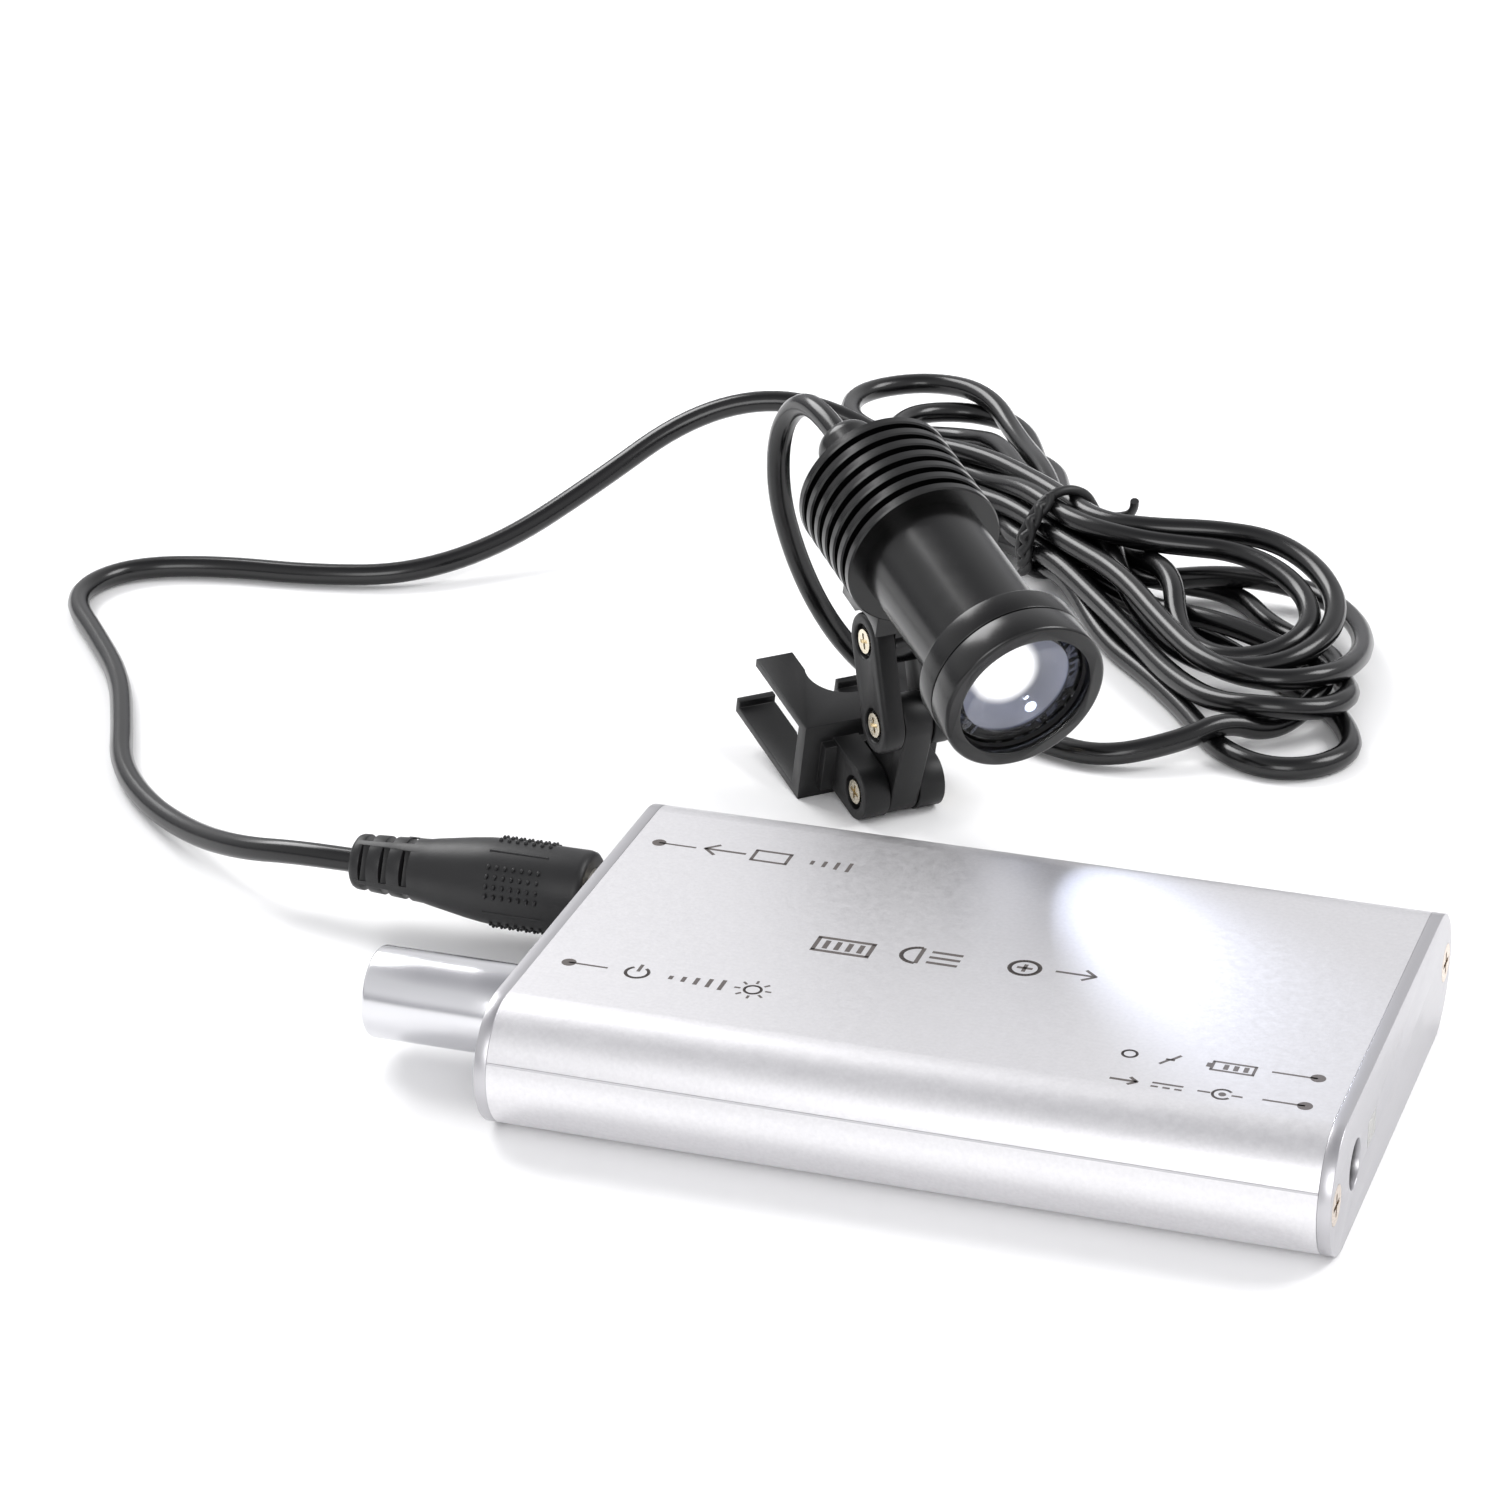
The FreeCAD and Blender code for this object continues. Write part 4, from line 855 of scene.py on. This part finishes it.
def painted_glow_bowl():
    """Satin reflector bowl with painted light: a blue-grey painted glow, a painted highlight and a
    painted glint.

    All three are emission at fixed places on the bowl: painted, not reflections or light from the
    lamps."""
    made, tree, shader = material("satin_reflector_painted_glow", "#15171F", 0.3, 0.0)
    place = node(tree, "ShaderNodeTexCoord").outputs["Object"]
    side, up = lens_axes()
    # Painted glow: the bowl's floor emits a blue-grey pattern, as if lit inside the lamp.
    painted_glow_swirl = node(tree, "ShaderNodeMix", {0: noise(tree, 5.0, 1)}, data_type="RGBA")
    painted_glow_swirl.inputs[6].default_value = (*rgb("#171B2C"), 1)
    painted_glow_swirl.inputs[7].default_value = (*rgb("#6A7089"), 1)
    colour = painted_glow_swirl.outputs[2]
    # Painted highlight and painted glint, each an emitted spot at a fixed place.
    for (right, high), reach, full, bright in (PAINTED_SHEEN, PAINTED_GLINT):
        spot = LENS_FRONT + (side * -right + up * high - BEAM * (BOWL_DEPTH + BOWL_SINK)) * MM
        away = node(tree, "ShaderNodeVectorMath", {0: place}, operation="DISTANCE")
        away.inputs[1].default_value = spot
        fade = node(tree, "ShaderNodeMapRange", {0: away.outputs["Value"]},
                    interpolation_type="SMOOTHSTEP")
        fade.inputs[1].default_value = reach * full * MM
        fade.inputs[2].default_value = reach * MM
        fade.inputs[3].default_value = 1.0
        fade.inputs[4].default_value = 0.0
        glow = node(tree, "ShaderNodeMix", {0: fade.outputs[0]}, data_type="RGBA")
        tree.links.new(colour, glow.inputs[6])
        glow.inputs[7].default_value = bright
        colour = glow.outputs[2]
    tree.links.new(colour, shader.inputs["Emission Color"])
    shader.inputs["Emission Strength"].default_value = 1.0
    return made


class HEADLIGHT_OT_bowl(bpy.types.Operator):
    """Reflector bowl between the lens and the light source"""
    bl_idname = "headlight.bowl"
    bl_label = "Reflector bowl"

    def execute(self, context):
        select_only(NODES["lens"])
        bpy.ops.mesh.primitive_circle_add(vertices=64, radius=BOWL_RADIUS * MM, fill_type="NGON")
        item = context.active_object
        bpy.ops.object.mode_set(mode="EDIT")
        for width in BOWL_STEPS:
            bpy.ops.mesh.inset(thickness=width * MM)
            bpy.ops.transform.translate(value=(0, 0, -BOWL_STEP_SINK * MM))
        bpy.ops.object.mode_set(mode="OBJECT")
        wall = item.modifiers.new("wall", "SOLIDIFY")
        wall.thickness = BOWL_WALL * MM
        bpy.ops.object.modifier_apply(modifier="wall")
        item.rotation_euler = BEAM.to_track_quat("Z", "Y").to_euler()
        item.location = LENS_FRONT - BEAM * BOWL_DEPTH * MM
        settle_transform(item)
        smooth(item, 60)
        # Reflector material whose glow, highlight and glint are painted as emission.
        MADE["bowl"] = painted_glow_bowl()
        finish_piece(item, "reflector_bowl", "bowl")
        return {"FINISHED"}


# ---- twist tie

# Millimetres.
TIE_WIRE = 0.7
TIE_POINTS = 14
TIE_SKEW = 0.6
STRAND_RADIUS = 1.55


def tube(name, points, radius, closed=False):
    """Round bar along a smooth line through given points, made a mesh."""
    select_only(round_line(name, points, radius, order=4, rings=3, closed=closed))
    bpy.ops.object.convert(target="MESH")
    return bpy.context.active_object


def tie_loop():
    """Loop drawn tight round the waist's outline."""
    sideways = Vector((-WAIST_RUN.y, WAIST_RUN.x, 0))
    points = []
    for number in range(TIE_POINTS):
        angle = 2 * math.pi * number / TIE_POINTS
        out = (math.cos(angle), math.sin(angle))
        reach = max(a * out[0] + u * out[1] for a, u in STRANDS) + STRAND_RADIUS + TIE_WIRE
        skew = TIE_SKEW * math.sin(angle)
        points.append(WAIST + WAIST_RUN * skew * MM + sideways * out[0] * reach * MM
                      + Vector((0, 0, out[1] * reach * MM)))
    return tube("loop", points, TIE_WIRE * MM, closed=True)


TIE_TWIST = [(-33.0, 139.2, 2.6), (-32.6, 137.2, 5.2), (-32.2, 136.4, 8.6), (-31.4, 138.0, 11.6),
             (-29.8, 140.6, 13.6)]
TIE_END = [(-28.5, 147.5, 8.5), (-24.5, 150.4, 7.6), (-20.8, 148.8, 8.6), (-19.4, 146.6, 10.6),
           (-19.2, 145.8, 12.4)]
TIE_END_RADIUS = 0.62
TWIST_RADIUS = 0.6
TWIST_FLATNESS = 0.5
POINTS_PER_SPOT = 3
POINTS_PER_TURN = 5


def tie_knot():
    """The tie's ends: two turned round each other at the front and one free tip behind."""
    spots = [Vector(p) * MM for p in TIE_TWIST]
    steps = len(spots) * POINTS_PER_SPOT
    ends = []
    for phase in (0, math.pi):
        points = []
        for step in range(steps):
            along = step / (steps - 1) * (len(spots) - 1)
            low = min(int(along), len(spots) - 2)
            middle = spots[low].lerp(spots[low + 1], along - low)
            turn = phase + 2 * math.pi * step / POINTS_PER_TURN
            points.append(middle + Vector((math.cos(turn), TWIST_FLATNESS * math.cos(turn),
                                           math.sin(turn))) * TWIST_RADIUS * MM)
        ends.append(tube("end", points, TIE_END_RADIUS * MM))
    ends.append(tube("tip", [Vector(p) * MM for p in TIE_END], TIE_END_RADIUS * MM))
    return joined(ends)


class HEADLIGHT_OT_tie(bpy.types.Operator):
    """Plastic-covered wire tie round the hank's waist"""
    bl_idname = "headlight.tie"
    bl_label = "Twist tie"

    def execute(self, context):
        tie = joined([tie_loop(), tie_knot()])
        smooth(tie, 60)
        finish_piece(tie, "wire_tie", "plug", replaced=("twist_tie",))
        return {"FINISHED"}


# ---- seam

# Millimetres. The line stands a little proud of the shells' sides.
SEAM_HEIGHT = 10.2
SEAM_PROUD = 0.05
SEAM_WIDTH = 0.3
SEAM_EDGE = 0.02


class HEADLIGHT_OT_seam(bpy.types.Operator):
    """Fine joint line between the two shells, along both sides"""
    bl_idname = "headlight.seam"
    bl_label = "Seam"

    def execute(self, context):
        select_only(NODES["case_top_shell"])
        low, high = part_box("case_top_shell")
        lines = []
        for y in (low.y, high.y):
            bpy.ops.mesh.primitive_cube_add(
                size=1, location=((low.x + high.x) / 2, y, SEAM_HEIGHT * MM))
            line = context.active_object
            line.scale = (high.x - low.x, 2 * SEAM_PROUD * MM, SEAM_WIDTH * MM)
            settle_transform(line)
            round_edges(line, SEAM_EDGE, SHARP_EDGE, segments=1)
            lines.append(line)
        seam = joined(lines)
        finish_piece(seam, "shell_seam", "brushed")
        return {"FINISHED"}


# ---- printed signs

# Places and sizes of the signs are in millimetres, on the pack's top.
INK = 0.03
PACK_TOP = 15.5
LEADER_DOT = 0.85
LEADER_LINE = 0.3
ARROW_LINE = 0.4
ARROW_HEAD = 42         # degrees between the shaft and each side of the head


def bar(x, y, length, width, turn=0.0):
    """Flat printed bar centred at x, y in millimetres."""
    bpy.ops.mesh.primitive_cube_add(size=1, location=(x * MM, y * MM, PACK_TOP * MM),
                                    rotation=(0, 0, math.radians(turn)))
    item = bpy.context.active_object
    item.scale = (length * MM, width * MM, INK * MM)
    return item


def dot(x, y, radius, sides=24):
    """Flat printed disc."""
    bpy.ops.mesh.primitive_cylinder_add(vertices=sides, radius=radius * MM, depth=INK * MM,
                                        location=(x * MM, y * MM, PACK_TOP * MM))
    return bpy.context.active_object


def hoop(x, y, radius, width, start=0.0, sweep=360.0):
    """Printed ring or arc made of short bars."""
    count = max(4, int(sweep / 12))
    step = sweep / count
    chord = 2 * radius * math.sin(math.radians(step / 2)) + width * 0.35
    return [bar(x + radius * math.cos(math.radians(start + step * (i + 0.5))),
                y + radius * math.sin(math.radians(start + step * (i + 0.5))),
                chord, width, start + step * (i + 0.5) + 90) for i in range(count)]


def leader(x, y, direction, length, rise=0.0):
    """Dot with the line that leads from it to its sign."""
    reach = direction * length
    return [dot(x, y, LEADER_DOT), bar(x + reach / 2, y + rise, length, LEADER_LINE)]


def arrow(x, y, direction, size):
    """Arrow that points along x, to the right when direction is 1."""
    parts = [bar(x, y, size, ARROW_LINE)]
    for side in (1, -1):
        parts.append(bar(x + direction * size * 0.36, y + side * size * 0.13, size * 0.42,
                         ARROW_LINE, -side * direction * ARROW_HEAD))
    return parts


def frame_sign(x, y, length, width, line=0.4):
    """Outline of a rectangle."""
    return [bar(x, y + width / 2, length + line, line), bar(x, y - width / 2, length + line, line),
            bar(x + length / 2, y, line, width), bar(x - length / 2, y, line, width)]


def output_sign():
    """Arrow out to a lamp's socket, with growing bars."""
    parts = leader(-43.4, 16.3, 1, 4.6)
    parts += arrow(-35.2, 16.5, -1, 5.0)
    parts += frame_sign(-29.6, 16.6, 4.2, 2.6)
    parts += [bar(-24.6 + 1.5 * i, 16.7, 0.45, 1.0 + 0.45 * i) for i in range(4)]
    return parts


def switch_sign():
    """Power sign, growing bars and a small sun for the dimmer."""
    parts = leader(-42.7, -15.8, 1, 4.6)
    parts += hoop(-34.6, -15.8, 1.3, 0.38, 125, 290)
    parts.append(bar(-34.6, -14.7, 0.4, 1.7))
    parts += [bar(-30.6 + 1.5 * i, -15.8, 0.5, 0.8 + 0.4 * i) for i in range(5)]
    parts += hoop(-21.0, -15.8, 0.95, 0.32)
    parts += [bar(-21.0 + 1.8 * math.cos(math.radians(a)), -15.8 + 1.8 * math.sin(math.radians(a)),
                  0.7, 0.3, a) for a in range(0, 360, 45)]
    return parts


def headlight_sign():
    """Battery, lamp with its beams, and charge signs in the middle of the pack."""
    parts = hoop(-6.0, -2.2, 1.9, 0.5, 90, 180)
    parts.append(bar(-5.8, -2.2, 0.5, 3.8))
    parts += [bar(-2.9, -2.2 + 1.3 * i, 3.6, 0.5) for i in (-1, 0, 1)]
    parts += frame_sign(-14.6, -2.8, 6.4, 3.2, 0.5)
    parts += [bar(-16.6 + 1.35 * i, -2.8, 0.6, 2.0) for i in range(4)]
    parts += hoop(6.2, -1.5, 1.7, 0.5)
    parts += [bar(6.2, -1.5, 1.8, 0.45, 0), bar(6.2, -1.5, 1.8, 0.45, 90)]
    parts += arrow(12.0, -1.2, 1, 4.6)
    return parts


def recharge_sign():
    """Battery, flash and light of the charge indicator."""
    parts = leader(42.9, -16.6, -1, 5.0, -0.1)
    parts += frame_sign(33.8, -17.2, 4.6, 1.9, 0.32)
    parts.append(bar(31.1, -17.2, 0.5, 0.9))
    parts += [bar(35.2 - 1.1 * i, -17.2, 0.55, 1.1) for i in range(3)]
    parts += [bar(27.4, -16.8, 1.5, 0.36, 55), bar(26.9, -17.4, 1.0, 0.36, 0),
              bar(26.4, -18.0, 1.5, 0.36, 55)]
    parts += hoop(22.4, -17.4, 0.8, 0.3)
    return parts


def input_sign():
    """Round socket, direct current and an arrow in."""
    parts = leader(42.9, -23.0, -1, 4.6)
    parts += hoop(34.0, -23.2, 1.05, 0.3, 40, 280)
    parts.append(dot(34.0, -23.2, 0.42))
    parts += [bar(35.6, -23.2, 1.2, 0.3), bar(32.0, -23.2, 1.4, 0.3)]
    parts += [bar(28.0, -22.9, 3.4, 0.32), bar(29.3, -23.7, 0.8, 0.32), bar(28.0, -23.7, 0.8, 0.32),
              bar(26.7, -23.7, 0.8, 0.32)]
    parts += arrow(23.2, -23.3, 1, 3.0)
    return parts


class HEADLIGHT_OT_signs(bpy.types.Operator):
    """Generic signs printed on the pack's top"""
    bl_idname = "headlight.signs"
    bl_label = "Printed signs"

    def execute(self, context):
        select_only(NODES["case_top_shell"])
        for name, maker in (("output_sign", output_sign), ("switch_sign", switch_sign),
                            ("headlight_sign", headlight_sign), ("recharge_sign", recharge_sign),
                            ("input_sign", input_sign)):
            item = joined(maker())
            settle_transform(item)
            finish_piece(item, name, "ink")
        return {"FINISHED"}


# ---- stage

# Stops of the sky: (height, colour). The first two are the ramp's own, the others are added.
SKY = ((0.0, "#77777B"), (1.0, "#A8A8AC"), (0.07, "#B4B4B8"), (0.30, "#F4F4F6"), (0.75, "#E6E6E8"))
SKY_STRENGTH = 1.0
# The lit lamp's beam, which falls on the pack.
BEAM_POWER = 0.3
BEAM_ANGLE = math.radians(34)
BEAM_SOURCE = 6.0       # radius, millimetres
BEAM_START = 1.0        # before the lens, millimetres
BEAM_COLOUR = "#DFE8FF"
# name: (place in metres, side in metres, power in watts)
SOFTBOXES = {
    "softbox_left": ((-0.70, 0.45, 0.70), 0.50, 6.0),
    "softbox_right": ((0.65, 0.35, 0.75), 0.45, 5.0),
    "softbox_front": ((0.15, -0.85, 0.45), 0.5, 3.0),
}
SOFTBOX_TARGET = Vector((-0.035, 0.075, 0.01))
CAMERA_PLACE = (0.13264, -0.46794, 0.26427)
CAMERA_TURN = (65.3063, 0.3602, 18.6172)    # degrees
CAMERA_LENS = 116.66
CAMERA_SENSOR = 36.0


class StageSettings(bpy.types.PropertyGroup):
    floor_size: bpy.props.FloatProperty(
        name="Floor size", description="Side of the pale floor",
        default=6.0, unit="LENGTH")


def aimed(name, data, place, direction):
    """Put a light at a place so that it shines in a direction."""
    lamp = bpy.data.objects.new(name, data)
    lamp.location = place
    lamp.rotation_euler = direction.to_track_quat("-Z", "Y").to_euler()
    bpy.context.scene.collection.objects.link(lamp)


class HEADLIGHT_OT_stage(bpy.types.Operator):
    """Pale floor, soft lights and the camera"""
    bl_idname = "headlight.stage"
    bl_label = "Stage"

    def execute(self, context):
        scene = context.scene
        select_only(NODES["case_top_shell"])
        bpy.ops.mesh.primitive_plane_add(size=scene.headlight_stage.floor_size, location=(0, 0, 0))
        floor = context.active_object
        floor.name = "floor"
        settle_transform(floor)
        floor.data.materials.append(floor_sheet())
        self.sky(scene)
        self.lights()
        self.camera(scene)
        scene.view_settings.view_transform = "Standard"
        return {"FINISHED"}

    def sky(self, scene):
        """Pale studio surroundings, brighter to the sides than above."""
        world = bpy.data.worlds.new("studio")
        world.use_nodes = True
        tree = world.node_tree
        height = node(tree, "ShaderNodeSeparateXYZ",
                      {0: node(tree, "ShaderNodeTexCoord").outputs["Generated"]}).outputs["Z"]
        ramp = node(tree, "ShaderNodeValToRGB", {0: height})
        stops = ramp.color_ramp.elements
        for number, (position, colour) in enumerate(SKY):
            stop = stops[number] if number < 2 else stops.new(position)
            stop.position, stop.color = position, (*rgb(colour), 1)
        background = tree.nodes["Background"]
        tree.links.new(ramp.outputs[0], background.inputs[0])
        background.inputs[1].default_value = SKY_STRENGTH
        scene.world = world

    def lights(self):
        """The lamp's own beam and three softboxes."""
        beam = bpy.data.lights.new("lamp_beam", "SPOT")
        beam.energy = BEAM_POWER
        beam.spot_size = BEAM_ANGLE
        beam.spot_blend = 1.0
        beam.shadow_soft_size = BEAM_SOURCE * MM
        beam.color = rgb(BEAM_COLOUR)
        aimed("lamp_beam", beam, LENS_FRONT + BEAM * BEAM_START * MM, BEAM)
        for name, (place, size, power) in SOFTBOXES.items():
            light = bpy.data.lights.new(name, "AREA")
            light.size = size
            light.energy = power
            aimed(name, light, place, SOFTBOX_TARGET - Vector(place))

    def camera(self, scene):
        """Camera of the main view."""
        data = bpy.data.cameras.new("camera")
        data.lens = CAMERA_LENS
        data.sensor_width = CAMERA_SENSOR
        data.clip_end = 20.0
        camera = bpy.data.objects.new("camera", data)
        camera.location = CAMERA_PLACE
        camera.rotation_euler = [math.radians(angle) for angle in CAMERA_TURN]
        scene.collection.objects.link(camera)
        scene.camera = camera


class HEADLIGHT_OT_finishes(bpy.types.Operator):
    """Materials of the machined and moulded parts"""
    bl_idname = "headlight.finishes"
    bl_label = "Finishes"

    def execute(self, context):
        dress_nodes()
        return {"FINISHED"}


class HEADLIGHT_PT_panel(bpy.types.Panel):
    """The headlight's steps, in their order"""
    bl_label = "Clip-on headlight"
    bl_idname = "HEADLIGHT_PT_panel"
    bl_space_type = "VIEW_3D"
    bl_region_type = "UI"
    bl_category = "Headlight"

    def draw(self, context):
        for step in STEPS:
            self.layout.operator(step)


STEPS = ["headlight.stage", "headlight.finishes", "headlight.knob", "headlight.plug",
         "headlight.bowl", "headlight.tie", "headlight.cord", "headlight.edges",
         "headlight.seam", "headlight.signs"]
CLASSES = (CordSettings, StageSettings, HEADLIGHT_OT_stage, HEADLIGHT_OT_finishes,
           HEADLIGHT_OT_knob, HEADLIGHT_OT_plug, HEADLIGHT_OT_bowl, HEADLIGHT_OT_tie,
           HEADLIGHT_OT_cord, HEADLIGHT_OT_edges, HEADLIGHT_OT_seam, HEADLIGHT_OT_signs,
           HEADLIGHT_PT_panel)


def register():
    for item in CLASSES:
        bpy.utils.register_class(item)
    bpy.types.Scene.headlight_cord = bpy.props.PointerProperty(type=CordSettings)
    bpy.types.Scene.headlight_stage = bpy.props.PointerProperty(type=StageSettings)


def unregister():
    del bpy.types.Scene.headlight_cord
    del bpy.types.Scene.headlight_stage
    for item in reversed(CLASSES):
        bpy.utils.unregister_class(item)


def main():
    """Build the whole looks in order."""
    register()
    for step in STEPS:
        group, name = step.split(".")
        getattr(getattr(bpy.ops, group), name)()


if __name__ == "__main__":
    main()
